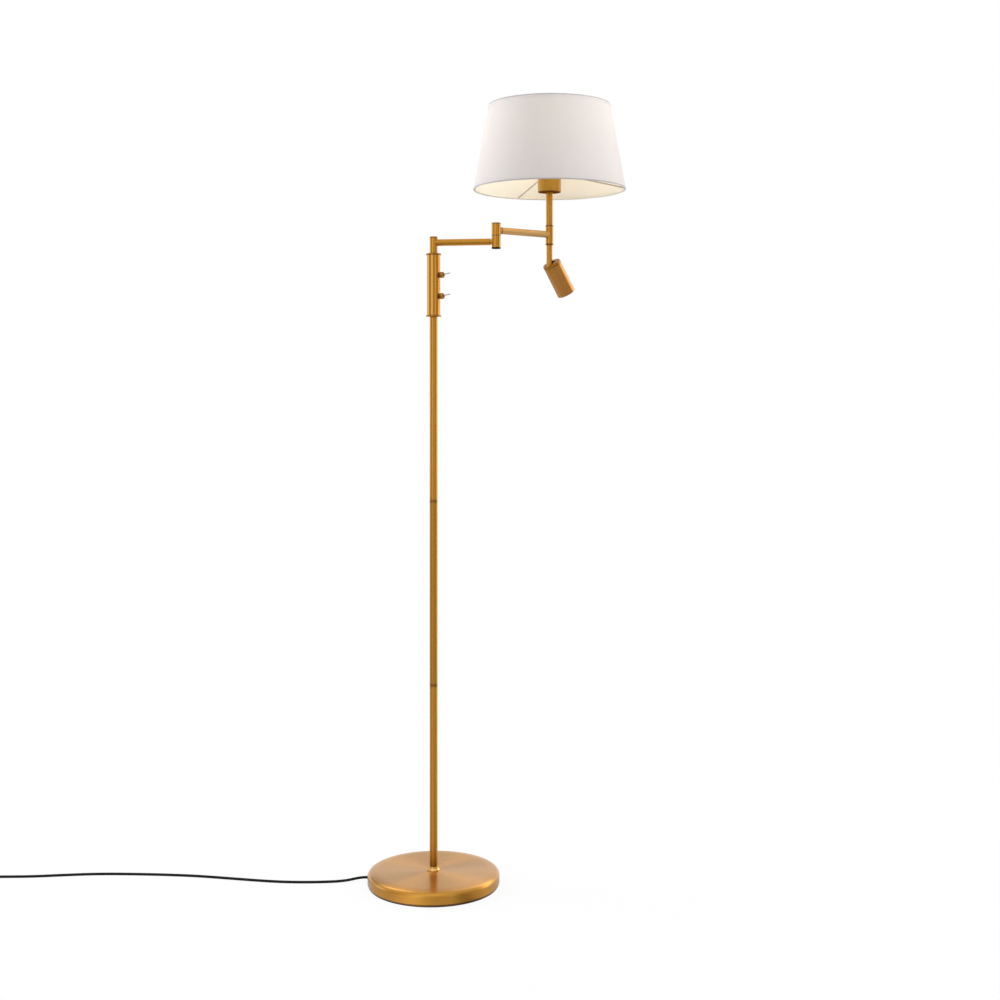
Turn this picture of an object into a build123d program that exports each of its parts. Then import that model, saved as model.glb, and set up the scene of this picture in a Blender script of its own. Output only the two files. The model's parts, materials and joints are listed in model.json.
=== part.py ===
from build123d import *
from math import acos, cos, degrees, pi, radians, sin, sqrt, tan
import os

# Adjustable floor lamp: a weighted round base, a three-piece pole with a two-switch housing on top,
# a double-jointed swing arm, a tapered drum shade above the arm's end and a tilting spot below it.
# Millimetres. The origin is the centre of the base's underside, +Z is up, +X is to the viewer's right
# and +Y leads away from the viewer. The pose is the photographed one.

# Whole lamp
lamp_height = 1490.5

# Base
base_diameter = 250.0
base_height = 27.4
base_flat_diameter = 202.0
base_rim_slope = 8.0
base_edge_radius = 4.5
cover_wall = 1.2
pad_thickness = 2.0
pad_inset = 1.0
weight_clearance = 0.4
weight_shoulder = 4.0
weight_shoulder_drop = 2.4
weight_side_drop = 6.0
recess_diameter = 36.0
recess_roof = 20.0
stud_diameter = 10.0
stud_bore = 7.0
stud_spigot_length = 20.0
stud_tail = 0.5
nut_across_flats = 14.0
nut_height = 5.0
nut_flange_diameter = 24.0
nut_flange_thickness = 2.0
channel_clearance = 1.0

# Pole
pole_diameter = 15.0
pole_wall = 1.0
pole_joint_chamfer = 0.4
joint_length = 40.0
joint_bore = 8.0
collar_diameter = 24.4
collar_neck_diameter = 18.6
collar_height = 8.0
collar_floor = 2.0
collar_rim_height = 2.2
collar_flare_height = 2.8
collar_rounding = 1.0

# Switch housing and its two toggle switches
housing_diameter = 25.5
housing_wall = 1.2
housing_length = 114.0
flange_diameter = 29.0
flange_thickness = 3.0
flange_edge_radius = 0.8
housing_spigot_length = 8.0
pole_spigot_length = 16.0
lower_toggle_rise = 38.8
upper_toggle_rise = 78.8
toggle_azimuth = -25.0
toggle_swing = 10.0
switch_width = 8.0
switch_height = 13.0
switch_depth = 14.0
switch_front = 10.3
bushing_neck_diameter = 9.4
bushing_nut_diameter = 11.4
bushing_nut_start = 15.0
bushing_nut_length = 6.6
bushing_nut_radius = 2.4
lever_pivot_reach = 15.6
lever_ball_diameter = 4.6
lever_diameter = 2.2
lever_tip_diameter = 2.8
lever_reach = 35.6
trunnion_diameter = 1.6
trunnion_reach = 3.6

# Swing arm: a post turning on the housing, an elbow and a hub
post_diameter = 15.0
post_height = 32.0
lower_arm_rise = 20.6
lower_arm_reach = 120.0
lower_arm_azimuth = -8.2
upper_arm_reach = 127.0
upper_arm_azimuth = 35.7
arm_diameter = 12.8
arm_wall = 1.0
arm_neck = 2.4
arm_insert = 12.0
lead_way = 7.0
knuckle_diameter = 17.0
knuckle_chamber = 12.0
lower_knuckle_below_arm = 13.2
lower_knuckle_above_arm = 11.6
upper_arm_above_seam = 10.0
upper_knuckle_height = 21.0
knuckle_web = 5.5
cap_thickness = 2.5
cap_spigot_length = 3.0
cap_edge_chamfer = 0.6
pivot_diameter = 9.0
pivot_head_thickness = 1.6
washer_thickness = 0.6
spindle_diameter = 10.0
spindle_bore = 7.0
hub_diameter = 14.6
hub_bead_diameter = 15.6
hub_bead_height = 2.0
hub_below_arm = 20.5
hub_above_arm = 18.0
hub_web = 10.0
clip_thickness = 1.0
clip_neck_diameter = 8.0

# Shade and lamp holder
upper_stem_diameter = 13.0
upper_stem_length = 63.7
stem_spigot_diameter = 10.0
stem_spigot_length = 9.0
cup_diameter = 45.0
cup_height = 32.3
cup_wall = 1.0
cup_edge_radius = 4.0
holder_body_diameter = 38.0
holder_skirt_diameter = 39.0
holder_skirt_height = 22.0
holder_flange_thickness = 2.0
holder_foot_diameter = 20.0
holder_foot_height = 8.0
lamp_cap_diameter = 26.4
lamp_cap_length = 27.0
lamp_seat_depth = 27.5
bulb_diameter = 60.0
bulb_height = 80.0
bulb_wall = 1.0
shade_bottom_diameter = 295.0
shade_top_diameter = 236.0
shade_height = 164.0
shade_below_seat = 29.7
shade_wall = 1.2
shade_wire = 3.0
hem_height = 2.6
carrier_ring_width = 5.5
carrier_ring_thickness = 2.0
carrier_spoke_azimuth = 114.0
carrier_spokes = 3
shade_ring_diameter = 54.0
shade_ring_height = 7.0

# Tilting spot
spot_stem_diameter = 11.6
spot_stem_bore = 6.4
spot_pivot_drop = 43.0
spot_tilt = 33.0
spot_tilt_limit = 55.0
spot_diameter = 36.0
spot_length = 68.5
spot_wall = 1.2
spot_rim_radius = 0.5
spot_cap_length = 6.0
spot_cap_face = 3.0
spot_cap_edge = 1.8
spot_cap_spigot = 5.0
pivot_depth = 5.0
pivot_offset = 8.5
slot_clearance = 0.4
skirt_clearance = 0.5
lug_thickness = 2.0
lug_radius = 4.0
hinge_pin_diameter = 4.0
heat_sink_depth = 20.0
heat_sink_length = 20.0
heat_sink_grooves = 4
heat_sink_groove_depth = 3.0
led_board_diameter = 26.0
led_board_thickness = 1.6
lens_length = 18.4
lens_foot_diameter = 14.0
lens_flange = 2.0
bezel_length = 6.0
bezel_opening = 27.0

# Mains cord
cord_diameter = 5.0
exit_height = 9.4
exit_azimuth = 174.5
grommet_diameter = 6.8
grommet_tip_diameter = 6.0
grommet_length = 3.0
grommet_flange_diameter = 10.0
grommet_flange_thickness = 2.0
lead_diameter = 3.6
lead_bend_radius = 6.0
exit_run = 11.0
coil_approach = 45.0
coil_approach_drop = 0.6
coil_straight = 20.0
coil_centre = (-880.0, -8.0)
coil_start_angle = 95.5
coil_inner_radius = 20.2
coil_pitch = 5.75
coil_turns_in = 3.0
coil_turns_out = 3.25
coil_turn_rounding = 0.15
tie_turn = 0.667
tie_thickness = 0.8
tie_width = 4.0
tie_gap = 0.35
boot_length = 24.0
boot_tip_diameter = 6.2
boot_root_diameter = 9.2
plug_width = 35.0
plug_waist = 12.0
plug_flare = 20.0
plug_length = 36.0
plug_thickness = 15.0
plug_edge_radius = 2.5
plug_pin_diameter = 4.0
plug_pin_length = 19.0
plug_pin_spacing = 18.6

# Fits: pieces fixed together, shafts that turn, and end faces that pass each other
fixed_fit = 0.02
running_fit = 0.05
end_play = 0.1

# Heights that follow
weight_top = base_height - cover_wall
pole_foot = base_height + collar_floor
housing_height = housing_length + 2 * flange_thickness
arm_height = lower_arm_rise + lower_knuckle_above_arm + upper_arm_above_seam
seat_height = hub_above_arm + upper_stem_length + cup_height + holder_flange_thickness
above_pole = housing_height + arm_height + seat_height - shade_below_seat + shade_height
pole_section = (lamp_height - pole_foot - above_pole) / 3
pole_top = pole_foot + 3 * pole_section
pole_bore = pole_diameter - 2 * pole_wall
housing_foot = pole_top + flange_thickness
housing_head = housing_foot + housing_length
swivel_seat = housing_head + flange_thickness
housing_bore = housing_diameter - 2 * housing_wall
lower_arm_height = swivel_seat + lower_arm_rise
elbow_seam = lower_arm_height + lower_knuckle_above_arm
upper_arm_height = elbow_seam + upper_arm_above_seam
hub_foot = upper_arm_height - hub_below_arm
hub_head = upper_arm_height + hub_above_arm
cup_foot = hub_head + upper_stem_length
carrier_seat = cup_foot + cup_height + holder_flange_thickness
shade_foot = carrier_seat - shade_below_seat

# Places that follow
lower_arm_direction = Vector(1, 0, 0).rotate(Axis.Z, lower_arm_azimuth)
upper_arm_direction = Vector(1, 0, 0).rotate(Axis.Z, upper_arm_azimuth)
toggle_direction = Vector(1, 0, 0).rotate(Axis.Z, toggle_azimuth)
exit_direction = Vector(1, 0, 0).rotate(Axis.Z, exit_azimuth)
up = Vector(0, 0, 1)
pole_axis = Vector(0, 0, 0)
elbow_axis = lower_arm_direction * lower_arm_reach
hub_axis = elbow_axis + upper_arm_direction * upper_arm_reach

os.makedirs("parts", exist_ok=True)


def save(piece, name):
    """Names a finished piece and writes it."""
    piece.part.label = name
    export_step(piece.part, f"parts/{name}.step")


def level(axis_point, height):
    """Horizontal drawing plane centred on an upright axis."""
    return Plane(origin=(axis_point.X, axis_point.Y, height))


def upright_section(axis_point, direction=Vector(1, 0, 0)):
    """Vertical drawing plane through an upright axis: local x runs outwards, local y is the height."""
    return Plane(origin=(axis_point.X, axis_point.Y, 0), x_dir=direction, z_dir=direction.cross(up))


def outward(axis_point, direction, height):
    """Drawing plane square to a horizontal direction, at an upright axis."""
    return Plane(origin=(axis_point.X, axis_point.Y, height), x_dir=up, z_dir=direction)


def ring(plane, outer_diameter, inner_diameter, length):
    """A plain tube, washer or ring that stands on a plane."""
    with BuildPart() as piece:
        with BuildSketch(plane):
            Circle(outer_diameter / 2)
            Circle(inner_diameter / 2, mode=Mode.SUBTRACT)
        extrude(amount=length)
    return piece


def turned(plane, outline):
    """A turned piece: a closed outline of radius and height about the plane's local y axis."""
    with BuildPart() as piece:
        with BuildSketch(plane):
            with BuildLine():
                Polyline(*outline, close=True)
            make_face()
        revolve(axis=Axis(plane.origin, plane.y_dir))
    return piece


def swivel_body(axis_point, steps, bores, arm_height, arm_direction):
    """An upright body of stacked discs with stepped bores and a hollow side spigot for an arm tube."""
    spigot_end = min(step[0] for step in steps) / 2 + arm_neck + arm_insert
    spigot_plane = outward(axis_point, arm_direction, arm_height)
    with BuildPart() as piece:
        for step_diameter, step_foot, step_head in steps:
            with BuildSketch(level(axis_point, step_foot)):
                Circle(step_diameter / 2)
            extrude(amount=step_head - step_foot)
        with BuildSketch(spigot_plane):
            Circle(arm_diameter / 2 - arm_wall - fixed_fit)
        extrude(amount=spigot_end)
        with BuildSketch(spigot_plane):
            Circle(lead_way / 2)
        extrude(amount=spigot_end, mode=Mode.SUBTRACT)
        for bore_diameter, bore_foot, bore_head in bores:
            with BuildSketch(level(axis_point, bore_foot)):
                Circle(bore_diameter / 2)
            extrude(amount=bore_head - bore_foot, mode=Mode.SUBTRACT)
    return piece


def end_cap(axis_point, diameter, spigot_diameter, seat, side):
    """A turned end cap: a chamfered disc on one side of its seat and a spigot on the other."""
    with BuildPart() as piece:
        with BuildSketch(level(axis_point, seat)):
            Circle(diameter / 2)
        extrude(amount=side * cap_thickness)
        rim = piece.edges().filter_by(GeomType.CIRCLE).sort_by(Axis.Z)[-1 if side > 0 else 0]
        chamfer(rim, cap_edge_chamfer)
        with BuildSketch(level(axis_point, seat)):
            Circle(spigot_diameter / 2 - fixed_fit)
        extrude(amount=-side * cap_spigot_length)
    return piece


# Base: a felt-like pad, a cast weight, a spun cover, and the hollow stud that clamps them to the pole
with BuildPart() as base_pad:
    with BuildSketch(level(pole_axis, 0)):
        Circle(base_diameter / 2 - pad_inset)
    extrude(amount=pad_thickness)
save(base_pad, "base_pad")

weight_radius = base_diameter / 2 - cover_wall - weight_clearance
channel_width = grommet_flange_diameter + channel_clearance
channel_roof = exit_height + grommet_flange_diameter / 2 + channel_clearance
with BuildPart() as base_weight:
    with BuildSketch(upright_section(pole_axis)):
        with BuildLine():
            Polyline(
                (0, pad_thickness),
                (weight_radius, pad_thickness),
                (weight_radius, weight_top - weight_side_drop),
                (weight_radius - weight_shoulder, weight_top - weight_shoulder_drop),
                (base_flat_diameter / 2, weight_top),
                (0, weight_top),
                close=True,
            )
        make_face()
    revolve(axis=Axis.Z)
    with BuildSketch(level(pole_axis, pad_thickness)):
        Circle(recess_diameter / 2)
    extrude(amount=recess_roof - pad_thickness, mode=Mode.SUBTRACT)
    with BuildSketch(level(pole_axis, recess_roof)):
        Circle(stud_diameter / 2 + running_fit)
    extrude(amount=base_height, mode=Mode.SUBTRACT)
    # Channel for the lead, from the nut's recess out to the cord's exit
    with BuildSketch(Plane(origin=(0, 0, pad_thickness), x_dir=exit_direction)):
        Rectangle(base_diameter, channel_width, align=(Align.MIN, Align.CENTER))
    extrude(amount=channel_roof - pad_thickness, mode=Mode.SUBTRACT)
save(base_weight, "base_weight")

# The cover is flat in the middle, rolls off gently to the rim's slope and turns down in a small round edge
rim_slope = radians(base_rim_slope)
flat_radius = base_flat_diameter / 2
roll_end = base_diameter / 2 - base_edge_radius * (1 - sin(rim_slope))
roll_drop = (roll_end - flat_radius) * tan(rim_slope / 2)
side_top = base_height - roll_drop - base_edge_radius * cos(rim_slope)
with BuildPart() as base_cover:
    with BuildSketch(upright_section(pole_axis)):
        with BuildLine():
            Line((0, base_height), (flat_radius, base_height))
            TangentArc((flat_radius, base_height), (roll_end, base_height - roll_drop), tangent=(1, 0))
            TangentArc(
                (roll_end, base_height - roll_drop), (base_diameter / 2, side_top),
                tangent=(cos(rim_slope), -sin(rim_slope)),
            )
            Polyline(
                (base_diameter / 2, side_top), (base_diameter / 2, pad_thickness),
                (0, pad_thickness), (0, base_height),
            )
        make_face()
    revolve(axis=Axis.Z)
    offset(amount=-cover_wall, openings=base_cover.faces().sort_by(Axis.Z)[0])
    with BuildSketch(level(pole_axis, base_height)):
        Circle(stud_diameter / 2 + running_fit)
    extrude(amount=-2 * cover_wall, mode=Mode.SUBTRACT)
    with BuildSketch(outward(pole_axis, exit_direction, exit_height)):
        Circle(grommet_diameter / 2 + running_fit)
    extrude(amount=base_diameter, mode=Mode.SUBTRACT)
save(base_cover, "base_cover")

stud_foot = recess_roof - nut_flange_thickness - nut_height - stud_tail
base_stud = turned(upright_section(pole_axis), [
    (stud_bore / 2, stud_foot),
    (stud_diameter / 2, stud_foot),
    (stud_diameter / 2, pole_foot),
    (pole_bore / 2 - fixed_fit, pole_foot),
    (pole_bore / 2 - fixed_fit, pole_foot + stud_spigot_length),
    (stud_bore / 2, pole_foot + stud_spigot_length),
])
save(base_stud, "base_stud")

with BuildPart() as base_nut:
    with BuildSketch(level(pole_axis, recess_roof - nut_flange_thickness)):
        Circle(nut_flange_diameter / 2)
    extrude(amount=nut_flange_thickness)
    with BuildSketch(level(pole_axis, recess_roof - nut_flange_thickness)):
        RegularPolygon(nut_across_flats / 2, 6, major_radius=False)
    extrude(amount=-nut_height)
    with BuildSketch(level(pole_axis, recess_roof)):
        Circle(stud_diameter / 2 + fixed_fit)
    extrude(amount=-recess_roof, mode=Mode.SUBTRACT)
save(base_nut, "base_nut")

# Pole: a flared foot collar, three equal tubes, and the two nipples that join them
collar_head = base_height + collar_height
flare_foot = base_height + collar_rim_height
flare_head = flare_foot + collar_flare_height
with BuildPart() as pole_collar:
    with BuildSketch(upright_section(pole_axis)):
        with BuildLine():
            FilletPolyline(
                (stud_diameter / 2 + running_fit, base_height),
                (collar_diameter / 2, base_height),
                (collar_diameter / 2, flare_foot),
                (collar_neck_diameter / 2 + collar_rounding / 3, flare_head),
                (collar_neck_diameter / 2, collar_head),
                (pole_diameter / 2 + running_fit, collar_head),
                radius=[collar_rounding / 3, collar_rounding, collar_rounding, collar_rounding / 2],
            )
            Polyline(
                (pole_diameter / 2 + running_fit, collar_head),
                (pole_diameter / 2 + running_fit, pole_foot),
                (stud_diameter / 2 + running_fit, pole_foot),
                (stud_diameter / 2 + running_fit, base_height),
            )
        make_face()
    revolve(axis=Axis.Z)
save(pole_collar, "pole_collar")

for index, name in enumerate(["pole_lower", "pole_middle", "pole_upper"]):
    section_foot = pole_foot + index * pole_section
    section_head = section_foot + pole_section
    section = turned(upright_section(pole_axis), [
        (pole_bore / 2, section_foot),
        (pole_diameter / 2 - pole_joint_chamfer, section_foot),
        (pole_diameter / 2, section_foot + pole_joint_chamfer),
        (pole_diameter / 2, section_head - pole_joint_chamfer),
        (pole_diameter / 2 - pole_joint_chamfer, section_head),
        (pole_bore / 2, section_head),
    ])
    save(section, name)

for index, name in enumerate(["pole_joint_lower", "pole_joint_upper"], start=1):
    joint_foot = pole_foot + index * pole_section - joint_length / 2
    nipple = ring(level(pole_axis, joint_foot), pole_bore - 2 * fixed_fit, joint_bore, joint_length)
    save(nipple, name)

# Switch housing: a tube between two flanged collars, with a hole for each toggle bushing
toggle_heights = {"lower": pole_top + lower_toggle_rise, "upper": pole_top + upper_toggle_rise}
with BuildPart() as switch_housing:
    with BuildSketch(level(pole_axis, housing_foot)):
        Circle(housing_diameter / 2)
        Circle(housing_bore / 2, mode=Mode.SUBTRACT)
    extrude(amount=housing_length)
    for toggle_height in toggle_heights.values():
        with BuildSketch(outward(pole_axis, toggle_direction, toggle_height)):
            Circle(bushing_neck_diameter / 2 + running_fit)
        extrude(amount=housing_diameter, mode=Mode.SUBTRACT)
save(switch_housing, "switch_housing")

with BuildPart() as lower_collar:
    with BuildSketch(level(pole_axis, pole_top)):
        Circle(flange_diameter / 2)
    extrude(amount=flange_thickness)
    fillet(lower_collar.edges().filter_by(GeomType.CIRCLE), flange_edge_radius)
    with BuildSketch(level(pole_axis, housing_foot)):
        Circle(housing_bore / 2 - fixed_fit)
    extrude(amount=housing_spigot_length)
    with BuildSketch(level(pole_axis, pole_top)):
        Circle(pole_bore / 2 - fixed_fit)
    extrude(amount=-pole_spigot_length)
    with BuildSketch(level(pole_axis, pole_top - pole_spigot_length)):
        Circle(joint_bore / 2)
    extrude(amount=pole_spigot_length + flange_thickness + housing_spigot_length, mode=Mode.SUBTRACT)
save(lower_collar, "housing_lower_collar")

with BuildPart() as upper_collar:
    with BuildSketch(level(pole_axis, housing_head)):
        Circle(flange_diameter / 2)
    extrude(amount=flange_thickness)
    fillet(upper_collar.edges().filter_by(GeomType.CIRCLE), flange_edge_radius)
    with BuildSketch(level(pole_axis, housing_head)):
        Circle(housing_bore / 2 - fixed_fit)
    extrude(amount=-housing_spigot_length)
    with BuildSketch(level(pole_axis, housing_head - housing_spigot_length)):
        Circle(spindle_diameter / 2 + fixed_fit)
    extrude(amount=housing_spigot_length + flange_thickness, mode=Mode.SUBTRACT)
save(upper_collar, "housing_upper_collar")

# Toggle switches: a body inside the housing, a bushing with a domed nut, and a lever that rocks in it
nut_face = bushing_nut_start + bushing_nut_length
mouth_radius = (nut_face - lever_pivot_reach) * tan(radians(toggle_swing)) + lever_tip_diameter / 2 + end_play
lever_seat = lever_ball_diameter / 2 + running_fit
lever_length = (lever_reach - lever_pivot_reach) / cos(radians(toggle_swing))
for name, toggle_height in toggle_heights.items():
    front = outward(pole_axis, toggle_direction, toggle_height)
    lever_pivot = front.origin + toggle_direction * lever_pivot_reach
    hinge_way = toggle_direction.cross(up)
    hinge = Plane(origin=lever_pivot, x_dir=up, z_dir=hinge_way)
    with BuildPart() as switch_body:
        with BuildSketch(front.offset(switch_front)):
            Rectangle(switch_height, switch_width)
        extrude(amount=-switch_depth)
    save(switch_body, f"switch_body_{name}")

    with BuildPart() as bushing:
        with BuildSketch(front.offset(bushing_nut_start)):
            Circle(bushing_nut_diameter / 2)
        extrude(amount=bushing_nut_length)
        fillet(bushing.edges().filter_by(GeomType.CIRCLE), bushing_nut_radius)
        with BuildSketch(front.offset(switch_front)):
            Circle(bushing_neck_diameter / 2)
        extrude(amount=bushing_nut_start - switch_front)
        # Round seat for the lever's ball, opening into a flared mouth
        section = Plane(front.origin, x_dir=up, z_dir=up.cross(toggle_direction))
        with BuildSketch(section):
            with BuildLine():
                Polyline(
                    (0, lever_pivot_reach - lever_seat),
                    (lever_seat, lever_pivot_reach - lever_seat),
                    (lever_seat, lever_pivot_reach),
                    (mouth_radius, nut_face),
                    (0, nut_face),
                    close=True,
                )
            make_face()
        revolve(axis=Axis(front.origin, toggle_direction), mode=Mode.SUBTRACT)
        # Blind holes in which the lever's trunnions turn
        with BuildSketch(hinge):
            Circle(trunnion_diameter / 2 + running_fit)
        extrude(amount=trunnion_reach + end_play, both=True, mode=Mode.SUBTRACT)
    save(bushing, f"toggle_bushing_{name}")

    lever_axis = toggle_direction * cos(radians(toggle_swing)) + up * sin(radians(toggle_swing))
    lever_section = Plane(lever_pivot, x_dir=lever_axis.cross(hinge_way), z_dir=hinge_way)
    with BuildPart() as lever:
        with BuildSketch(lever_section):
            with BuildLine():
                Polyline(
                    (0, 0),
                    (lever_diameter / 2, 0),
                    (lever_tip_diameter / 2, lever_length - lever_tip_diameter / 2),
                )
                CenterArc((0, lever_length - lever_tip_diameter / 2), lever_tip_diameter / 2, 0, 90)
                Line((0, lever_length), (0, 0))
            make_face()
        revolve(axis=Axis(lever_pivot, lever_section.y_dir))
        with BuildSketch(lever_section):
            with BuildLine():
                CenterArc((0, 0), lever_ball_diameter / 2, -90, 180)
                Line((0, lever_ball_diameter / 2), (0, -lever_ball_diameter / 2))
            make_face()
        revolve(axis=Axis(lever_pivot, lever_section.y_dir))
        with BuildSketch(hinge):
            Circle(trunnion_diameter / 2)
        extrude(amount=trunnion_reach, both=True)
    save(lever, f"toggle_lever_{name}")

# First swivel: a hollow shoulder screw in the housing's upper collar, with the post turning on it
post_foot = swivel_seat + washer_thickness + end_play
post_head = swivel_seat + post_height - cap_thickness
post_web_top = post_foot + knuckle_web
post_chamber = post_diameter - 2 * arm_wall
washer_bore = spindle_diameter + 2 * fixed_fit
save(ring(level(pole_axis, swivel_seat), post_diameter, washer_bore, washer_thickness), "swivel_washer")

spindle_head_foot = post_web_top + end_play
spindle_head_radius = post_chamber / 2 - 3 * end_play
swivel_spindle = turned(upright_section(pole_axis), [
    (spindle_bore / 2, housing_head - housing_spigot_length),
    (spindle_diameter / 2, housing_head - housing_spigot_length),
    (spindle_diameter / 2, spindle_head_foot),
    (spindle_head_radius, spindle_head_foot),
    (spindle_head_radius, spindle_head_foot + pivot_head_thickness),
    (spindle_bore / 2, spindle_head_foot + pivot_head_thickness),
])
save(swivel_spindle, "swivel_spindle")

swivel_post = swivel_body(
    pole_axis,
    [(post_diameter, post_foot, post_head)],
    [(spindle_diameter + 2 * running_fit, post_foot, post_head), (post_chamber, post_web_top, post_head)],
    lower_arm_height, lower_arm_direction,
)
save(swivel_post, "swivel_post")
save(end_cap(pole_axis, post_diameter, post_chamber, post_head, 1), "post_cap")

# Lower arm and elbow: two stacked knuckles on a hollow shoulder pin
def arm_tube(body_axis, body_diameter, direction, reach, height):
    """A tube coped to an upright body at one end and cut square, a neck short of the elbow, at the other."""
    with BuildPart() as piece:
        with BuildSketch(outward(body_axis, direction, height)):
            Circle(arm_diameter / 2)
            Circle(arm_diameter / 2 - arm_wall, mode=Mode.SUBTRACT)
        extrude(amount=reach - knuckle_diameter / 2 - arm_neck)
        with BuildSketch(level(body_axis, height - arm_diameter)):
            Circle(body_diameter / 2 + end_play)
        extrude(amount=2 * arm_diameter, mode=Mode.SUBTRACT)
    return piece


lower_arm_tube = arm_tube(pole_axis, post_diameter, lower_arm_direction, lower_arm_reach, lower_arm_height)
save(lower_arm_tube, "lower_arm_tube")

lower_knuckle_foot = lower_arm_height - lower_knuckle_below_arm + cap_thickness
lower_web_foot = elbow_seam - knuckle_web
lower_knuckle = swivel_body(
    elbow_axis,
    [(knuckle_diameter, lower_knuckle_foot, elbow_seam)],
    [(pivot_diameter + 2 * fixed_fit, lower_knuckle_foot, elbow_seam),
     (knuckle_chamber, lower_knuckle_foot, lower_web_foot)],
    lower_arm_height, -lower_arm_direction,
)
save(lower_knuckle, "elbow_lower_knuckle")
save(end_cap(elbow_axis, knuckle_diameter, knuckle_chamber, lower_knuckle_foot, -1), "elbow_bottom_plug")
pin_fit = pivot_diameter + 2 * fixed_fit
save(ring(level(elbow_axis, elbow_seam), knuckle_diameter, pin_fit, washer_thickness), "elbow_washer")

upper_knuckle_foot = elbow_seam + washer_thickness + end_play
upper_knuckle_head = upper_knuckle_foot + upper_knuckle_height
upper_web_top = upper_knuckle_foot + knuckle_web
elbow_pin_bore = pivot_diameter - 2 * arm_wall
pin_head_foot = upper_web_top + end_play
pin_head_radius = knuckle_chamber / 2 - 3 * end_play
elbow_pin = turned(upright_section(elbow_axis), [
    (elbow_pin_bore / 2, lower_web_foot),
    (pivot_diameter / 2, lower_web_foot),
    (pivot_diameter / 2, pin_head_foot),
    (pin_head_radius, pin_head_foot),
    (pin_head_radius, pin_head_foot + pivot_head_thickness),
    (elbow_pin_bore / 2, pin_head_foot + pivot_head_thickness),
])
save(elbow_pin, "elbow_pin")

upper_knuckle = swivel_body(
    elbow_axis,
    [(knuckle_diameter, upper_knuckle_foot, upper_knuckle_head)],
    [(pivot_diameter + 2 * running_fit, upper_knuckle_foot, upper_knuckle_head),
     (knuckle_chamber, upper_web_top, upper_knuckle_head)],
    upper_arm_height, upper_arm_direction,
)
save(upper_knuckle, "elbow_upper_knuckle")
save(end_cap(elbow_axis, knuckle_diameter, knuckle_chamber, upper_knuckle_head, 1), "elbow_top_cap")

# Upper arm and hub: the hub carries the shade's stem above and the spot's stem below
upper_arm_tube = arm_tube(hub_axis, hub_diameter, -upper_arm_direction, upper_arm_reach, upper_arm_height)
save(upper_arm_tube, "upper_arm_tube")

hub_chamber = hub_diameter - 2 * arm_wall
hub = swivel_body(
    hub_axis,
    [(hub_bead_diameter, hub_foot, hub_foot + hub_bead_height),
     (hub_diameter, hub_foot + hub_bead_height, hub_head - hub_bead_height),
     (hub_bead_diameter, hub_head - hub_bead_height, hub_head)],
    [(pivot_diameter + 2 * running_fit, hub_foot, hub_foot + hub_web),
     (hub_chamber, hub_foot + hub_web, hub_head - stem_spigot_length),
     (stem_spigot_diameter + 2 * fixed_fit, hub_head - stem_spigot_length, hub_head)],
    upper_arm_height, -upper_arm_direction,
)
save(hub, "hub")

stem_head = cup_foot + cup_wall + stem_spigot_length
upper_stem = turned(upright_section(hub_axis), [
    (lead_way / 2, hub_head - stem_spigot_length),
    (stem_spigot_diameter / 2, hub_head - stem_spigot_length),
    (stem_spigot_diameter / 2, hub_head),
    (upper_stem_diameter / 2, hub_head),
    (upper_stem_diameter / 2, cup_foot),
    (stem_spigot_diameter / 2, cup_foot),
    (stem_spigot_diameter / 2, stem_head),
    (lead_way / 2, stem_head),
])
save(upper_stem, "upper_stem")

# Lamp holder: a spun cup, the holder inside it, and the bulb screwed into the holder
with BuildPart() as holder_cup:
    with BuildSketch(level(hub_axis, cup_foot)):
        Circle(cup_diameter / 2)
    extrude(amount=cup_height)
    fillet(holder_cup.edges().group_by(Axis.Z)[0], cup_edge_radius)
    offset(amount=-cup_wall, openings=holder_cup.faces().sort_by(Axis.Z)[-1])
    with BuildSketch(level(hub_axis, cup_foot)):
        Circle(stem_spigot_diameter / 2 + running_fit)
    extrude(amount=2 * cup_wall, mode=Mode.SUBTRACT)
save(holder_cup, "holder_cup")

holder_foot = cup_foot + cup_wall
cup_rim = cup_foot + cup_height
skirt_top = carrier_seat + holder_skirt_height
lamp_seat = skirt_top - lamp_seat_depth
lamp_bore = lamp_cap_diameter / 2 + 3 * end_play
lamp_holder = turned(upright_section(hub_axis), [
    (stem_spigot_diameter / 2 + fixed_fit, holder_foot),
    (holder_foot_diameter / 2, holder_foot),
    (holder_body_diameter / 2, holder_foot + holder_foot_height),
    (holder_body_diameter / 2, cup_rim),
    (cup_diameter / 2, cup_rim),
    (cup_diameter / 2, carrier_seat),
    (holder_skirt_diameter / 2, carrier_seat),
    (holder_skirt_diameter / 2, skirt_top),
    (lamp_bore, skirt_top),
    (lamp_bore, lamp_seat),
    (stem_spigot_diameter / 2 + fixed_fit, lamp_seat),
])
save(lamp_holder, "lamp_holder")

bulb_cap = turned(upright_section(hub_axis), [
    (0, lamp_seat),
    (lamp_cap_diameter / 3, lamp_seat),
    (lamp_cap_diameter / 2, lamp_seat + lamp_cap_length / 6),
    (lamp_cap_diameter / 2, lamp_seat + lamp_cap_length),
    (0, lamp_seat + lamp_cap_length),
])
save(bulb_cap, "bulb_cap")

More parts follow.
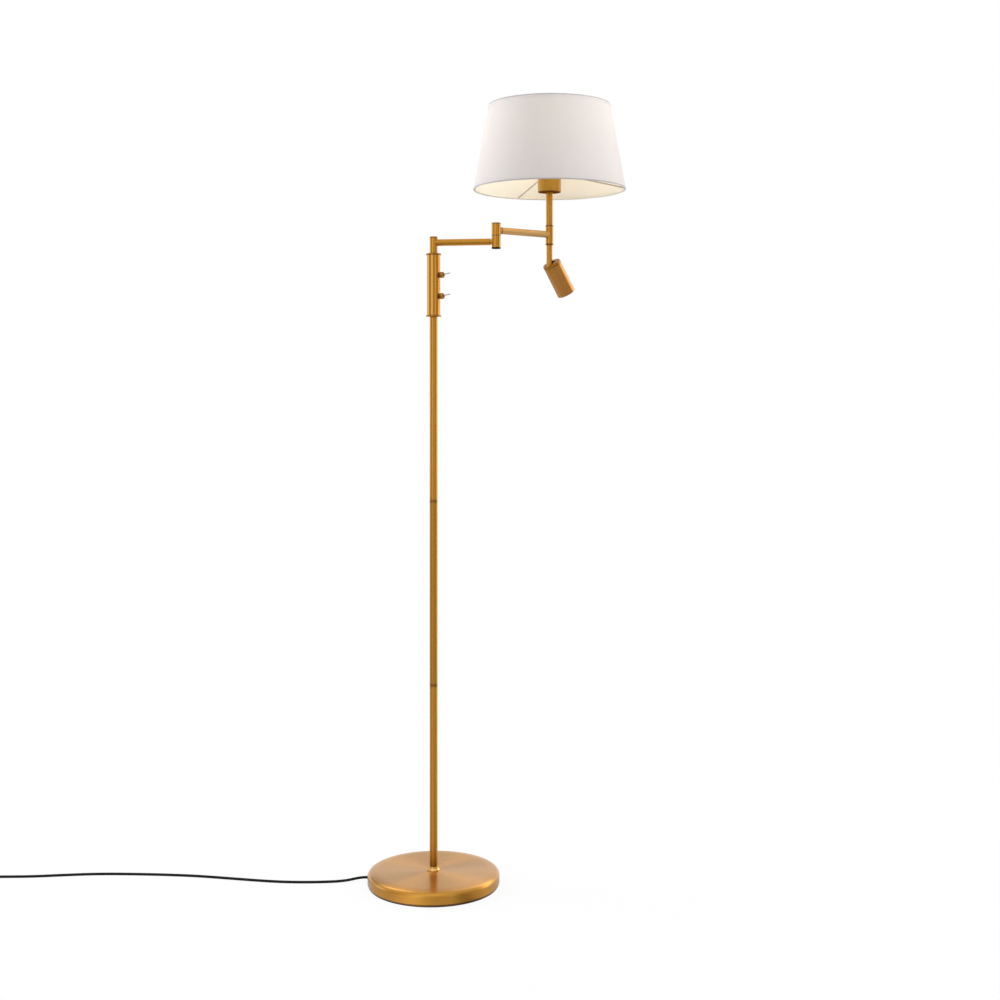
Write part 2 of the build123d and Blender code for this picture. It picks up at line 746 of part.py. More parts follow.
bulb_foot = lamp_seat + lamp_cap_length
bulb_radius = bulb_diameter / 2
bulb_neck = lamp_cap_diameter / 2
globe_centre = bulb_foot + bulb_height - bulb_radius
with BuildPart() as bulb_glass:
    with BuildSketch(upright_section(hub_axis)):
        with BuildLine():
            foot_line = Line((0, bulb_foot), (bulb_neck, bulb_foot))
            globe = CenterArc((0, globe_centre), bulb_radius, -30, 120)
            neck = Spline(foot_line @ 1, globe @ 0, tangents=(Vector(0, 1), globe % 0))
            Line(globe @ 1, (0, bulb_foot))
        make_face()
    revolve(axis=Axis((hub_axis.X, hub_axis.Y, 0), (0, 0, 1)))
    offset(amount=-bulb_wall, openings=bulb_glass.faces().sort_by(Axis.Z)[0])
save(bulb_glass, "bulb_glass")

# Shade: a stiff fabric drum on a top wire and on a carrier of a bottom wire, spokes and a holder ring
shade_head = shade_foot + shade_height
shade_taper = (shade_bottom_diameter - shade_top_diameter) / 2 / shade_height
shade_fabric = turned(upright_section(hub_axis), [
    (shade_bottom_diameter / 2, shade_foot),
    (shade_top_diameter / 2, shade_head),
    (shade_top_diameter / 2 - shade_wall, shade_head),
    (shade_bottom_diameter / 2 - shade_wall, shade_foot),
])
save(shade_fabric, "shade_fabric")

wire_inset = shade_wall + shade_wire / 2 * sqrt(1 + shade_taper**2) + end_play
bottom_wire_height = shade_foot + hem_height
top_wire_height = shade_head - hem_height
bottom_wire_radius = shade_bottom_diameter / 2 - hem_height * shade_taper - wire_inset
top_wire_radius = shade_top_diameter / 2 + hem_height * shade_taper - wire_inset
shade_axis = Axis((hub_axis.X, hub_axis.Y, 0), (0, 0, 1))

with BuildPart() as shade_top_ring:
    with BuildSketch(upright_section(hub_axis)):
        with Locations((top_wire_radius, top_wire_height)):
            Circle(shade_wire / 2)
    revolve(axis=shade_axis)
save(shade_top_ring, "shade_top_ring")

carrier_bore = holder_skirt_diameter / 2 + running_fit
carrier_ring_radius = carrier_bore + carrier_ring_width
with BuildPart() as shade_carrier:
    with BuildSketch(level(hub_axis, carrier_seat)):
        Circle(carrier_ring_radius)
        Circle(carrier_bore, mode=Mode.SUBTRACT)
    extrude(amount=carrier_ring_thickness)
    with BuildSketch(upright_section(hub_axis)):
        with Locations((bottom_wire_radius, bottom_wire_height)):
            Circle(shade_wire / 2)
    revolve(axis=shade_axis)
    # Each spoke leaves the ring just under its top face and ends in the bottom wire
    for spoke in range(carrier_spokes):
        azimuth = carrier_spoke_azimuth + spoke * 360 / carrier_spokes
        spoke_way = Vector(1, 0, 0).rotate(Axis.Z, azimuth)
        spoke_root_height = carrier_seat + carrier_ring_thickness - shade_wire / 2 - end_play
        spoke_root = hub_axis + spoke_way * (carrier_ring_radius - shade_wire / 2) + up * spoke_root_height
        spoke_tip = hub_axis + spoke_way * bottom_wire_radius + up * bottom_wire_height
        with BuildSketch(Plane(origin=spoke_root, z_dir=spoke_tip - spoke_root)):
            Circle(shade_wire / 2)
        extrude(amount=(spoke_tip - spoke_root).length)
save(shade_carrier, "shade_carrier")

ring_seat = carrier_seat + carrier_ring_thickness
save(ring(level(hub_axis, ring_seat), shade_ring_diameter, 2 * carrier_bore, shade_ring_height), "shade_ring")

# Spot stem: a tube with a turned spigot in the hub, kept there by a clip, and a rounded, drilled end
stem_radius = spot_stem_diameter / 2
pivot_height = hub_foot - spot_pivot_drop
pivot = hub_axis + up * pivot_height
hinge_direction = upper_arm_direction.cross(up)
clip_seat = hub_foot + hub_web + end_play
stem_shoulder = hub_foot - end_play
with BuildPart() as spot_stem:
    with BuildSketch(upright_section(hub_axis, upper_arm_direction)):
        with BuildLine():
            CenterArc((0, pivot_height), stem_radius, -90, 90)
            Polyline(
                (stem_radius, pivot_height),
                (stem_radius, stem_shoulder),
                (pivot_diameter / 2, stem_shoulder),
                (pivot_diameter / 2, clip_seat),
                (clip_neck_diameter / 2, clip_seat),
                (clip_neck_diameter / 2, clip_seat + 2 * clip_thickness),
                (0, clip_seat + 2 * clip_thickness),
                (0, pivot_height - stem_radius),
            )
        make_face()
    revolve(axis=shade_axis)
    with BuildSketch(level(hub_axis, pivot_height - stem_radius)):
        Circle(spot_stem_bore / 2)
    extrude(amount=hub_head, mode=Mode.SUBTRACT)
    with BuildSketch(Plane(origin=pivot, x_dir=up, z_dir=hinge_direction)):
        Circle(hinge_pin_diameter / 2 + running_fit)
    extrude(amount=stem_radius, both=True, mode=Mode.SUBTRACT)
save(spot_stem, "spot_stem")

clip_diameter = hub_chamber - 6 * end_play
clip_bore = clip_neck_diameter + 2 * fixed_fit
save(ring(level(hub_axis, clip_seat), clip_diameter, clip_bore, clip_thickness), "stem_clip")

# Spot head, in its own tilted section: local x leads to the cap's high side, local y along the beam
tilt = radians(spot_tilt)
beam = upper_arm_direction * sin(tilt) - up * cos(tilt)
high_side = upper_arm_direction * cos(tilt) + up * sin(tilt)
cap_centre = pivot - beam * pivot_depth + high_side * pivot_offset
head_section = Plane(origin=cap_centre, x_dir=high_side, z_dir=high_side.cross(beam))
cap_face = Plane(origin=cap_centre, x_dir=high_side, z_dir=beam)
spot_bore = spot_diameter - 2 * spot_wall
spot_liner = spot_bore - 2 * fixed_fit
lug_gap = stem_radius + 3 * end_play

slot_radius = stem_radius + slot_clearance
limit = radians(spot_tilt_limit)
slot_reach = pivot_depth * tan(limit) + stem_radius / cos(limit) + slot_clearance - slot_radius
skirt_bore = 2 * (pivot_offset + slot_radius + skirt_clearance)
with BuildPart() as spot_cap:
    with BuildSketch(cap_face):
        Circle(spot_diameter / 2)
    extrude(amount=spot_cap_length)
    outer_rim = spot_cap.edges().filter_by(GeomType.CIRCLE).sort_by(Axis(cap_centre, beam))[0]
    fillet(outer_rim, spot_cap_edge)
    with BuildSketch(cap_face.offset(spot_cap_length)):
        Circle(spot_liner / 2)
    extrude(amount=spot_cap_spigot)
    with BuildSketch(cap_face.offset(spot_cap_face)):
        Circle(skirt_bore / 2)
    extrude(amount=spot_length, mode=Mode.SUBTRACT)
    # Two lugs under the cap hold the hinge pin on either side of the stem
    for side in (-1, 1):
        with BuildSketch(head_section.offset(side * (lug_gap + lug_thickness / 2))):
            with Locations((-pivot_offset, pivot_depth)):
                Circle(lug_radius)
                Rectangle(2 * lug_radius, pivot_depth - spot_cap_face, align=(Align.CENTER, Align.MAX))
        extrude(amount=lug_thickness / 2, both=True)
    with BuildSketch(head_section):
        with Locations((-pivot_offset, pivot_depth)):
            Circle(hinge_pin_diameter / 2 + fixed_fit)
    extrude(amount=lug_gap + lug_thickness, both=True, mode=Mode.SUBTRACT)
    # Slot that lets the stem swing from upright to the tilt limit
    with BuildSketch(cap_face):
        with Locations((-pivot_offset, 0)):
            Circle(slot_radius)
            Rectangle(slot_reach, 2 * slot_radius, align=(Align.MIN, Align.CENTER))
        with Locations((slot_reach - pivot_offset, 0)):
            Circle(slot_radius)
    extrude(amount=spot_cap_face, mode=Mode.SUBTRACT)
save(spot_cap, "spot_cap")

with BuildPart() as spot_pin:
    with BuildSketch(Plane(origin=pivot, x_dir=up, z_dir=hinge_direction)):
        Circle(hinge_pin_diameter / 2)
    extrude(amount=lug_gap + lug_thickness, both=True)
save(spot_pin, "spot_pin")

with BuildPart() as spot_shell:
    with BuildSketch(cap_face.offset(spot_cap_length)):
        Circle(spot_diameter / 2)
        Circle(spot_bore / 2, mode=Mode.SUBTRACT)
    extrude(amount=spot_length - spot_cap_length)
    beam_rim = spot_shell.edges().filter_by(GeomType.CIRCLE).group_by(Axis(cap_centre, beam))[-1]
    fillet(beam_rim, spot_rim_radius)
save(spot_shell, "spot_shell")

groove_pitch = heat_sink_length / (2 * heat_sink_grooves + 1)
with BuildPart() as heat_sink:
    with BuildSketch(cap_face.offset(heat_sink_depth)):
        Circle(spot_liner / 2)
    extrude(amount=heat_sink_length)
    for groove in range(heat_sink_grooves):
        with BuildSketch(cap_face.offset(heat_sink_depth + (2 * groove + 1) * groove_pitch)):
            Circle(spot_liner / 2)
            Circle(spot_liner / 2 - heat_sink_groove_depth, mode=Mode.SUBTRACT)
        extrude(amount=groove_pitch, mode=Mode.SUBTRACT)
save(heat_sink, "spot_heat_sink")

board_depth = heat_sink_depth + heat_sink_length
lens_depth = board_depth + led_board_thickness
bezel_depth = lens_depth + lens_length
with BuildPart() as led_board:
    with BuildSketch(cap_face.offset(board_depth)):
        Circle(led_board_diameter / 2)
    extrude(amount=led_board_thickness)
save(led_board, "spot_led_board")

spot_lens = turned(head_section, [
    (0, lens_depth),
    (lens_foot_diameter / 2, lens_depth),
    (spot_liner / 2 - lens_flange, bezel_depth - lens_flange),
    (spot_liner / 2, bezel_depth - lens_flange),
    (spot_liner / 2, bezel_depth),
    (0, bezel_depth),
])
save(spot_lens, "spot_lens")
save(ring(cap_face.offset(bezel_depth), spot_liner, bezel_opening, bezel_length), "spot_bezel")

# Cord exit: a short rubber bushing, and the lead that goes on inside through base and pole
cover_radius = base_diameter / 2
exit_section = Plane(
    origin=(0, 0, exit_height), x_dir=up, z_dir=up.cross(exit_direction)
)
lead_hole = lead_diameter / 2 + running_fit
cover_inside = sqrt(cover_radius**2 - (grommet_flange_diameter / 2) ** 2) - cover_wall - end_play
grommet_end = cover_radius + grommet_length
cord_grommet = turned(exit_section, [
    (lead_hole, cover_inside - grommet_flange_thickness),
    (grommet_flange_diameter / 2, cover_inside - grommet_flange_thickness),
    (grommet_flange_diameter / 2, cover_inside),
    (grommet_diameter / 2, cover_inside),
    (grommet_diameter / 2, cover_radius + end_play),
    (grommet_tip_diameter / 2, grommet_end),
    (lead_hole, grommet_end),
])
save(cord_grommet, "cord_grommet")

lead_top = toggle_heights["lower"] - switch_height / 2
lead_section = upright_section(pole_axis, exit_direction)
with BuildPart() as pole_lead:
    with BuildLine(lead_section):
        FilletPolyline(
            (grommet_end, exit_height), (0, exit_height), (0, lead_top), radius=lead_bend_radius
        )
    with BuildSketch(outward(pole_axis, exit_direction, exit_height).offset(grommet_end)):
        Circle(lead_diameter / 2)
    sweep()
save(pole_lead, "pole_lead")


# Put-away coil: the cord spirals in on the lower layer, climbs where it turns back, and spirals out
coil_low = cord_diameter / 2 + tie_gap + tie_thickness
climb_span = 0.5


def coil_radius(turn):
    """Shrinks and grows by one pitch a turn about the turning point, rounded where it reverses."""
    along = turn - coil_turns_in
    return coil_inner_radius + coil_pitch * (sqrt(along**2 + coil_turn_rounding**2) - coil_turn_rounding)


def coil_point(turn):
    """Axis of the coiled cord after a number of turns: a flat spiral that climbs one layer."""
    share = min(max((turn - coil_turns_in) / climb_span + 0.5, 0.0), 1.0)
    angle = radians(coil_start_angle + 360 * turn)
    return Vector(
        coil_centre[0] + coil_radius(turn) * cos(angle),
        coil_centre[1] + coil_radius(turn) * sin(angle),
        coil_low + coil_pitch * share**2 * (3 - 2 * share),
    )


def coil_heading(turn, step=0.002):
    """Unit direction of the coiled cord, from points just before and just after."""
    return (coil_point(turn + step) - coil_point(turn - step)).normalized()


def biarc(start, start_way, end, end_way):
    """The meeting point and the shared direction of two arcs that leave and arrive along given ways."""
    chord = end - start
    both = start_way + end_way
    curve = 2 * (start_way.dot(end_way) - 1)
    lean = -2 * chord.dot(both)
    span = (-lean - sqrt(lean**2 - 4 * curve * chord.dot(chord))) / (2 * curve)
    meeting = (start + start_way * span + end - end_way * span) * 0.5
    return meeting, ((end - end_way * span) - (start + start_way * span)).normalized()


coil_turns = coil_turns_in + coil_turns_out
quarter_turns = int(round(coil_turns * 4))
coil_entry = coil_point(0) - coil_heading(0) * cord_diameter
coil_exit = coil_point(coil_turns) + coil_heading(coil_turns) * cord_diameter
with BuildPart() as cord_coil:
    with BuildLine() as coil_path:
        Line(coil_entry, coil_point(0))
        for quarter in range(quarter_turns):
            start, end = coil_point(quarter / 4), coil_point((quarter + 1) / 4)
            start_way, end_way = coil_heading(quarter / 4), coil_heading((quarter + 1) / 4)
            meeting, meeting_way = biarc(start, start_way, end, end_way)
            TangentArc(start, meeting, tangent=start_way)
            TangentArc(meeting, end, tangent=meeting_way)
        Line(coil_point(coil_turns), coil_exit)
    with BuildSketch(Plane(origin=coil_entry, z_dir=coil_heading(0))):
        Circle(cord_diameter / 2)
    sweep()
save(cord_coil, "cord_coil")

coil_wire = coil_path.wires()[0]
samples = [coil_wire.position_at(i / 1000) for i in range(1001)]
least_turn = 0.5 * 2 * pi * coil_inner_radius
skip = int(least_turn / (coil_wire.length / 1000))
least = min((samples[i] - samples[j]).length for i in range(1001) for j in range(i + skip, 1001))
print("coil length", round(coil_wire.length, 1), "least gap", round(least - cord_diameter, 2))
print("coil volume ratio", round(cord_coil.part.volume / (pi * cord_diameter**2 / 4 * coil_wire.length), 4))

# Tie round the bundle: a flat loop in a radial plane of the coil
tie_angle = coil_start_angle + 360 * tie_turn
tie_way = Vector(1, 0, 0).rotate(Axis.Z, tie_angle)
tie_inside = coil_radius(coil_turns_in - 1 + tie_turn) - cord_diameter / 2 - tie_gap
tie_outside = coil_radius(coil_turns - 1.25 + tie_turn) + cord_diameter / 2 + tie_gap
tie_length = tie_outside - tie_inside
tie_height = coil_pitch + cord_diameter + 2 * tie_gap
tie_radius = cord_diameter / 2
tie_centre = Vector(*coil_centre) + tie_way * ((tie_inside + tie_outside) / 2)
tie_plane = Plane(
    origin=(tie_centre.X, tie_centre.Y, coil_low + coil_pitch / 2), x_dir=tie_way, z_dir=tie_way.cross(up)
)
with BuildPart() as cord_tie:
    with BuildSketch(tie_plane):
        RectangleRounded(tie_length + 2 * tie_thickness, tie_height + 2 * tie_thickness, tie_radius)
        RectangleRounded(tie_length, tie_height, tie_radius - tie_thickness, mode=Mode.SUBTRACT)
    extrude(amount=tie_width / 2, both=True)
save(cord_tie, "cord_tie")

# Cord on the floor: control points chosen along its photographed line, each corner a tangent arc
floor_axis = cord_diameter / 2
exit_point = exit_direction * grommet_end + up * exit_height
route = [
    exit_point,
    exit_point + exit_direction * exit_run,
    Vector(-169.0, 12.6, floor_axis),
    Vector(-204.0, 6.4, floor_axis),
    Vector(-252.0, 4.6, floor_axis),
    Vector(-295.0, 7.3, floor_axis),
    Vector(-337.0, 14.6, floor_axis),
    Vector(-394.0, 26.8, floor_axis),
    Vector(-455.0, 39.8, floor_axis),
    Vector(-516.0, 46.9, floor_axis),
    Vector(-584.0, 51.2, floor_axis),
    Vector(-652.0, 52.3, floor_axis),
    Vector(-714.0, 45.6, floor_axis),
    Vector(-776.0, 36.7, floor_axis),
    coil_entry - coil_heading(0) * coil_approach - up * (coil_low - floor_axis) * coil_approach_drop,
    coil_entry - coil_heading(0) * coil_straight,
    coil_entry,
]


def corner_radius(before, corner, after):
    """The largest arc that a corner's two runs allow: 0.45 of the shorter over the half turn's tangent."""
    turn = acos(min(max((corner - before).normalized().dot((after - corner).normalized()), -1), 1))
    return 0.45 * min((corner - before).length, (after - corner).length) / tan(turn / 2)


radii = [corner_radius(*route[i : i + 3]) for i in range(len(route) - 2)]
print("cord radii", [round(radius) for radius in radii])
print("cord runs", [round((b - a).length) for a, b in zip(route, route[1:])])
with BuildPart() as cord_run:
    with BuildLine() as cord_path:
        FilletPolyline(*route, radius=radii)
    with BuildSketch(Plane(origin=exit_point, z_dir=route[1] - route[0])):
        Circle(cord_diameter / 2)
    sweep()
save(cord_run, "cord_run")
cord_length = cord_path.wires()[0].length
print("cord length", round(cord_length, 1), "total", round(cord_length + coil_wire.length, 1))
print("cord volume ratio", round(cord_run.part.volume / (pi * cord_diameter**2 / 4 * cord_length), 4))

# Plug: a flat moulded two-pin plug that lies on the floor beside the coil
plug_way = coil_heading(coil_turns)
plug_side = up.cross(plug_way)
plug_root = coil_exit + plug_way * boot_length
plug_plane = Plane(origin=(plug_root.X, plug_root.Y, 0), x_dir=plug_way, z_dir=up)
with BuildPart() as plug_body:
    with BuildSketch(plug_plane):
        with BuildLine():
            Polyline(
                (0, plug_waist / 2),
                (plug_flare, plug_width / 2),
                (plug_length, plug_width / 2),
                (plug_length, -plug_width / 2),
                (plug_flare, -plug_width / 2),
                (0, -plug_waist / 2),
                close=True,
            )
        make_face()
    extrude(amount=plug_thickness)
    fillet(plug_body.edges().filter_by(Axis.Z), plug_edge_radius)
    fillet(plug_body.edges().group_by(Axis.Z)[-1], plug_edge_radius)
    with BuildSketch(Plane(origin=coil_exit, x_dir=plug_side, z_dir=plug_way)):
        Circle(boot_tip_diameter / 2)
    with BuildSketch(Plane(origin=plug_root + plug_way * plug_edge_radius, x_dir=plug_side, z_dir=plug_way)):
        Circle(boot_root_diameter / 2)
    loft()
save(plug_body, "plug_body")

pin_root = plug_plane.origin + plug_way * plug_length + up * plug_thickness / 2
pin_face = Plane(origin=pin_root, x_dir=plug_side, z_dir=plug_way)
with BuildPart() as plug_pins:
    with BuildSketch(pin_face):
        with GridLocations(plug_pin_spacing, 0, 2, 1):
            Circle(plug_pin_diameter / 2)
    extrude(amount=plug_pin_length)
    tips = plug_pins.edges().filter_by(GeomType.CIRCLE).group_by(Axis(pin_face.origin, plug_way))[-1]
    fillet(tips, plug_pin_diameter / 4)
save(plug_pins, "plug_pins")
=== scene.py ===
import json
from math import acos, asin, cos, degrees, pi, radians, sin, tan

import bmesh
import bpy
import numpy as np
from bpy.props import FloatProperty, FloatVectorProperty, PointerProperty
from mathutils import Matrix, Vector


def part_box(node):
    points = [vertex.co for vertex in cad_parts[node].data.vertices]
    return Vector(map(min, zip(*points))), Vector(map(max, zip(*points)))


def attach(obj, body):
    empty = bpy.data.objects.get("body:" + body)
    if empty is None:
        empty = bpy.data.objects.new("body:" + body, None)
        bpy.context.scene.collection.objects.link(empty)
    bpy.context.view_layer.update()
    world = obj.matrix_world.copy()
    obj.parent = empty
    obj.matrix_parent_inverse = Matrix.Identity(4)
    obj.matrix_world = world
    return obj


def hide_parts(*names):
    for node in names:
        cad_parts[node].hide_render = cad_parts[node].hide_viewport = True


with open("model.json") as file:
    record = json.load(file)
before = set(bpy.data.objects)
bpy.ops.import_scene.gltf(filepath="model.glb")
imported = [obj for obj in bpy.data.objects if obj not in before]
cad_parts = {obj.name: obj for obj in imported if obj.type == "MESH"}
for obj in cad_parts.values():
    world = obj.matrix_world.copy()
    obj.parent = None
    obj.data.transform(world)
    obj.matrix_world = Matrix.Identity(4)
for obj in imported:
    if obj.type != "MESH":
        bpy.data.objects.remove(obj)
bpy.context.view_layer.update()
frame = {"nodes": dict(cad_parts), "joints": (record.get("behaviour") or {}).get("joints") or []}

bl_info = {
    "name": "Adjustable floor lamp",
    "version": (1, 0, 0),
    "blender": (4, 5, 0),
    "location": "View3D > Sidebar > Lamp",
    "description": "Dresses the floor lamp's solids in brushed brass, fabric, glass and cord",
    "category": "Object",
}

MM = 0.001
UP = np.array([0.0, 0.0, 1.0])
PLAN = np.array([1.0, 1.0, 0.0])  # a place times this is its point on the floor
WHITE = (1.0, 1.0, 1.0)
JOINTS = {joint["name"]: joint for joint in frame["joints"]}
SWIVEL, ELBOW, HUB, PIVOT = (
    np.array(JOINTS[name]["pos_m"]) for name in ("arm_swivel", "elbow", "spot_swivel", "spot_tilt")
)

# Limits of the outlines, in metres or as shares of a side
ON_AXIS = 1e-9  # an outline's end within this radius is on the axis
LEAST_CUT = 1e-6  # a rounding that takes less off a side stays a corner
LEAST_TAN = 1e-6  # least tangent of half a corner's angle
CUT_SHARE, HOLD_SHARE = 0.48, 0.3  # most that a rounding and a holding point take of a side
SAME_POINT = 1e-7  # points this near become one

# Clearances and edges that several pieces share
SHARP = 0.1 * MM  # rounding of an edge that stays crisp
SEAT = 0.15 * MM  # rounding where a lid sits
STUD_BORE = 5.05 * MM  # radius of the bores for stud, stem and spindle
TUBE_BORE = 5.02 * MM  # radius of the close bores for stem and spindle
KNUCKLE_FLOOR = 5.5 * MM  # floor of post and elbow halves, which the shoulder screws go through
SPIGOT_REACH = 14 * MM  # how far a side spigot stands out of its body
ARM_WALL = 1.0 * MM
COPE_GAP = 0.02 * MM  # room between a coped arm end and the body that it meets


# Places and sizes read from the solids


def across(node):
    """Largest horizontal size of a solid."""
    low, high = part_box(node)
    return max(high.x - low.x, high.y - low.y)


def heights(node):
    """Lowest and highest level of a solid."""
    low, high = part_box(node)
    return low.z, high.z


def middle(node):
    """Centre of a solid's box."""
    low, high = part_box(node)
    return np.array((low + high) / 2)


def unit(vector):
    """A vector brought to length 1."""
    return np.asarray(vector, float) / np.linalg.norm(vector)


def unit_rows(vectors):
    """Each row brought to length 1."""
    return vectors / np.linalg.norm(vectors, axis=1, keepdims=True)


def heading(degrees_round):
    """Horizontal direction at an azimuth, counted from +X towards +Y."""
    return np.array([cos(radians(degrees_round)), sin(radians(degrees_round)), 0.0])


LOWER_ARM = unit((ELBOW - SWIVEL) * PLAN)
UPPER_ARM = unit((HUB - ELBOW) * PLAN)


# Sizes and colours that a user would change


def length(name, description, default):
    return FloatProperty(name=name, description=description, default=default, min=0.0, unit="LENGTH")


def angle(name, description, default):
    return FloatProperty(name=name, description=description, default=radians(default), subtype="ANGLE")


def colour(name, description, default):
    return FloatVectorProperty(
        name=name, description=description, default=default, size=3, min=0.0, max=1.0, subtype="COLOR"
    )


class LampSizes(bpy.types.PropertyGroup):
    """Sizes of the dressed pieces, in metres and radians; their places come from the solids."""

    base_flat: length("Base flat", "Diameter of the flat middle of the base cover", 202.0 * MM)
    base_edge: length("Base edge", "Rounding of the base cover's top edge", 8.0 * MM)
    base_slope: angle("Base slope", "Slope of the cover where its roll-off meets the round edge", 8.0)
    cover_wall: length("Cover wall", "Thickness of the spun base cover", 1.2 * MM)
    pole: length("Pole", "Diameter of the pole", across("pole_lower"))
    pole_wall: length("Pole wall", "Wall of the pole tubes", 1.0 * MM)
    arm: length("Arm", "Diameter of the arm tubes", 12.8 * MM)
    arm_neck: length("Arm neck", "Bare neck between an arm tube and the elbow", 2.4 * MM)
    metal_edge: length("Metal edge", "Softening of turned metal edges", 0.35 * MM)
    shade_bottom: length("Shade bottom", "Diameter of the shade's lower rim", 295.0 * MM)
    shade_top: length("Shade top", "Diameter of the shade's upper rim", 236.0 * MM)
    hem: length("Hem", "Height of the fabric hems of the shade", 7.0 * MM)
    hem_rise: length("Hem rise", "How far a hem stands proud of the fabric", 0.25 * MM)
    shade_wall: length("Shade wall", "Thickness of fabric and lining together", 1.2 * MM)
    shade_wire: length("Shade wire", "Diameter of the shade's wires", 3.0 * MM)
    bulb: length("Bulb", "Diameter of the bulb's globe", 60.0 * MM)
    spot: length("Spot", "Diameter of the spot's tube", 36.0 * MM)
    spot_length: length("Spot length", "Length of the spot with its cap", 68.5 * MM)
    cord: length("Cord", "Diameter of the mains cord", 5.0 * MM)
    spot_tilt: angle("Spot tilt", "Lean of the spot's beam from straight down, as stored", 33.0)
    toggle_azimuth: angle("Toggle azimuth", "Direction that the switch levers point", -25.0)
    toggle_lift: angle("Toggle lift", "Upward lean of the switch levers, as stored", 10.0)
    spoke_azimuth: angle("Spoke azimuth", "Direction of the first spoke of the shade carrier", 114.0)


class LampFinishes(bpy.types.PropertyGroup):
    """Colours of the finishes, as linear values."""

    brass: colour("Brushed brass", "Satin lacquered brass of poles, arms and spot", (0.74, 0.345, 0.036))
    brass_dark: colour("Brass shade", "Darker tone between the brush lines", (0.60, 0.262, 0.020))
    # the patina colour also paints shade on arm tops, toggle necks and the base's rolled edge
    patina: colour("Patina", "Brown tone that gathers at joints and rims", (0.15, 0.055, 0.010))
    # painted light: a paler copy of the brass that makes the upper arm look brighter
    brass_pale: colour("Pale brass", "Lighter brass of the upper arm", (0.95, 0.56, 0.20))
    brass_olive: colour("Olive brass", "Greener spun brass of the holder's cup", (0.56, 0.36, 0.055))
    brass_bright: colour("Polished brass", "Foot collar", (0.86, 0.56, 0.20))
    fabric: colour("Shade fabric", "Outside of the shade", (0.87, 0.845, 0.855))
    # painted shade: a grey copy of the fabric along the shade's rims
    trim: colour("Shade trim", "Narrow tape along the shade's rims", (0.56, 0.535, 0.545))
    lining: colour("Shade lining", "Inside of the shade", (0.95, 0.925, 0.84))
    cord: colour("Cord sheath", "Black sheath of the cord", (0.005, 0.005, 0.0055))
    plastic: colour("Black plastic", "Plug, tie, switches and the spot's front ring", (0.02, 0.017, 0.015))
    holder: colour("Holder plastic", "Lamp holder and its ring", (0.78, 0.76, 0.72))
    wire: colour("Wire coating", "Grey zinc of the shade's wires", (0.52, 0.45, 0.36))
    floor: colour("Floor", "Pale floor", (0.90, 0.90, 0.90))


def sizes():
    return bpy.context.scene.lamp_sizes


def finishes():
    return bpy.context.scene.lamp_finishes


# Profiles and grids


def profile(corners, steps=5, hold=0.35 * MM):
    """Points of a turned outline. Each corner is (radius, height, rounding): a rounding replaces the
    corner by an arc tangent to both sides, at distance t = rounding / tan(half the corner's angle) from it,
    and a holding point beside each arc keeps the flats flat. Returns the points, an edge weight that is
    largest in the middle of an arc, and whether the outline closes on itself. It runs counter-clockwise,
    and it closes unless it starts and ends on the axis."""
    corners = np.array([(*corner, 0.0)[:3] for corner in corners], float)
    open_ends = corners[0, 0] < ON_AXIS and corners[-1, 0] < ON_AXIS
    count = len(corners)
    points, edge = [], []
    for index in range(count):
        at, rounding = corners[index, :2], corners[index, 2]
        if open_ends and index in (0, count - 1):
            points.append(at[None])
            edge.append([0.0])
            continue
        before, after = corners[index - 1, :2], corners[(index + 1) % count, :2]
        back, on = unit(before - at), unit(after - at)
        reach_back, reach_on = np.linalg.norm(before - at), np.linalg.norm(after - at)
        half = acos(np.clip(back @ on, -1, 1)) / 2
        cut = min(rounding / max(tan(half), LEAST_TAN), CUT_SHARE * reach_back, CUT_SHARE * reach_on)
        if cut < LEAST_CUT:
            arc, weight = np.array([at]), [0.0]
        else:
            radius = cut * tan(half)
            centre = at + unit(back + on) * radius / sin(half)
            first, last = at + back * cut - centre, at + on * cut - centre
            swing = acos(np.clip(unit(first) @ unit(last), -1, 1))
            share = np.linspace(0, 1, steps + 1)[:, None]
            arc = centre + (np.sin((1 - share) * swing) * first + np.sin(share * swing) * last) / sin(swing)
            weight = np.sin(np.linspace(0, pi, steps + 1))
        lead, trail = min(hold, HOLD_SHARE * reach_back), min(hold, HOLD_SHARE * reach_on)
        points.append(np.vstack([at + back * (cut + lead), arc, at + on * (cut + trail)]))
        edge.append([0.0, *weight, 0.0])
    return np.vstack(points), np.concatenate(edge), not open_ends


def in_mm(corners):
    """Corners written in millimetres, as metres."""
    return [tuple(x * MM for x in corner) for corner in corners]


def axis_frame(axis):
    """Two directions square to an axis, so that first, second and axis are right-handed."""
    axis = unit(axis)
    seed = np.array([1.0, 0, 0]) if abs(axis[0]) < 0.9 else np.array([0, 1.0, 0])
    first = unit(seed - axis * (seed @ axis))
    return first, np.cross(axis, first), axis


def turned(
    corners, origin=(0, 0, 0), axis=UP, segments=96, material=0, wave=None, steps=5, tone=0.0, offset=0.0
):
    """Surface of revolution: origin + r(t) (cos u first + sin u second) + h(t) axis, with r and h from a
    profile. wave(u, h, r), if given, adds to the radius. tone is the share of patina colour, which on some
    pieces is painted shade, a number or a function of r and h, and offset is added to the profile length in
    the UV map. The grid's rows are the profile, its columns u."""
    outline, edge, closed = profile(corners, steps)
    first, second, axis = axis_frame(axis)
    u = np.linspace(0, 2 * pi, segments, endpoint=False)
    radius = np.repeat(outline[:, :1], segments, 1)
    if wave is not None:
        radius = radius + wave(u[None, :], outline[:, 1:2], outline[:, :1])
    points = (
        np.asarray(origin, float)
        + radius[..., None] * (np.cos(u)[None, :, None] * first + np.sin(u)[None, :, None] * second)
        + outline[:, 1][:, None, None] * axis
    )
    return {
        "points": points, "edge": np.repeat(edge[:, None], segments, 1), "closed": (closed, True),
        "material": material, "offset": offset,
        "tone": tone(outline[:, :1], outline[:, 1:2]) if callable(tone) else tone,
    }


def near(value, centre, width):
    """Bell of width w round a centre c, exp(-((x - c) / w)^2)."""
    return np.exp(-(((value - centre) / width) ** 2))


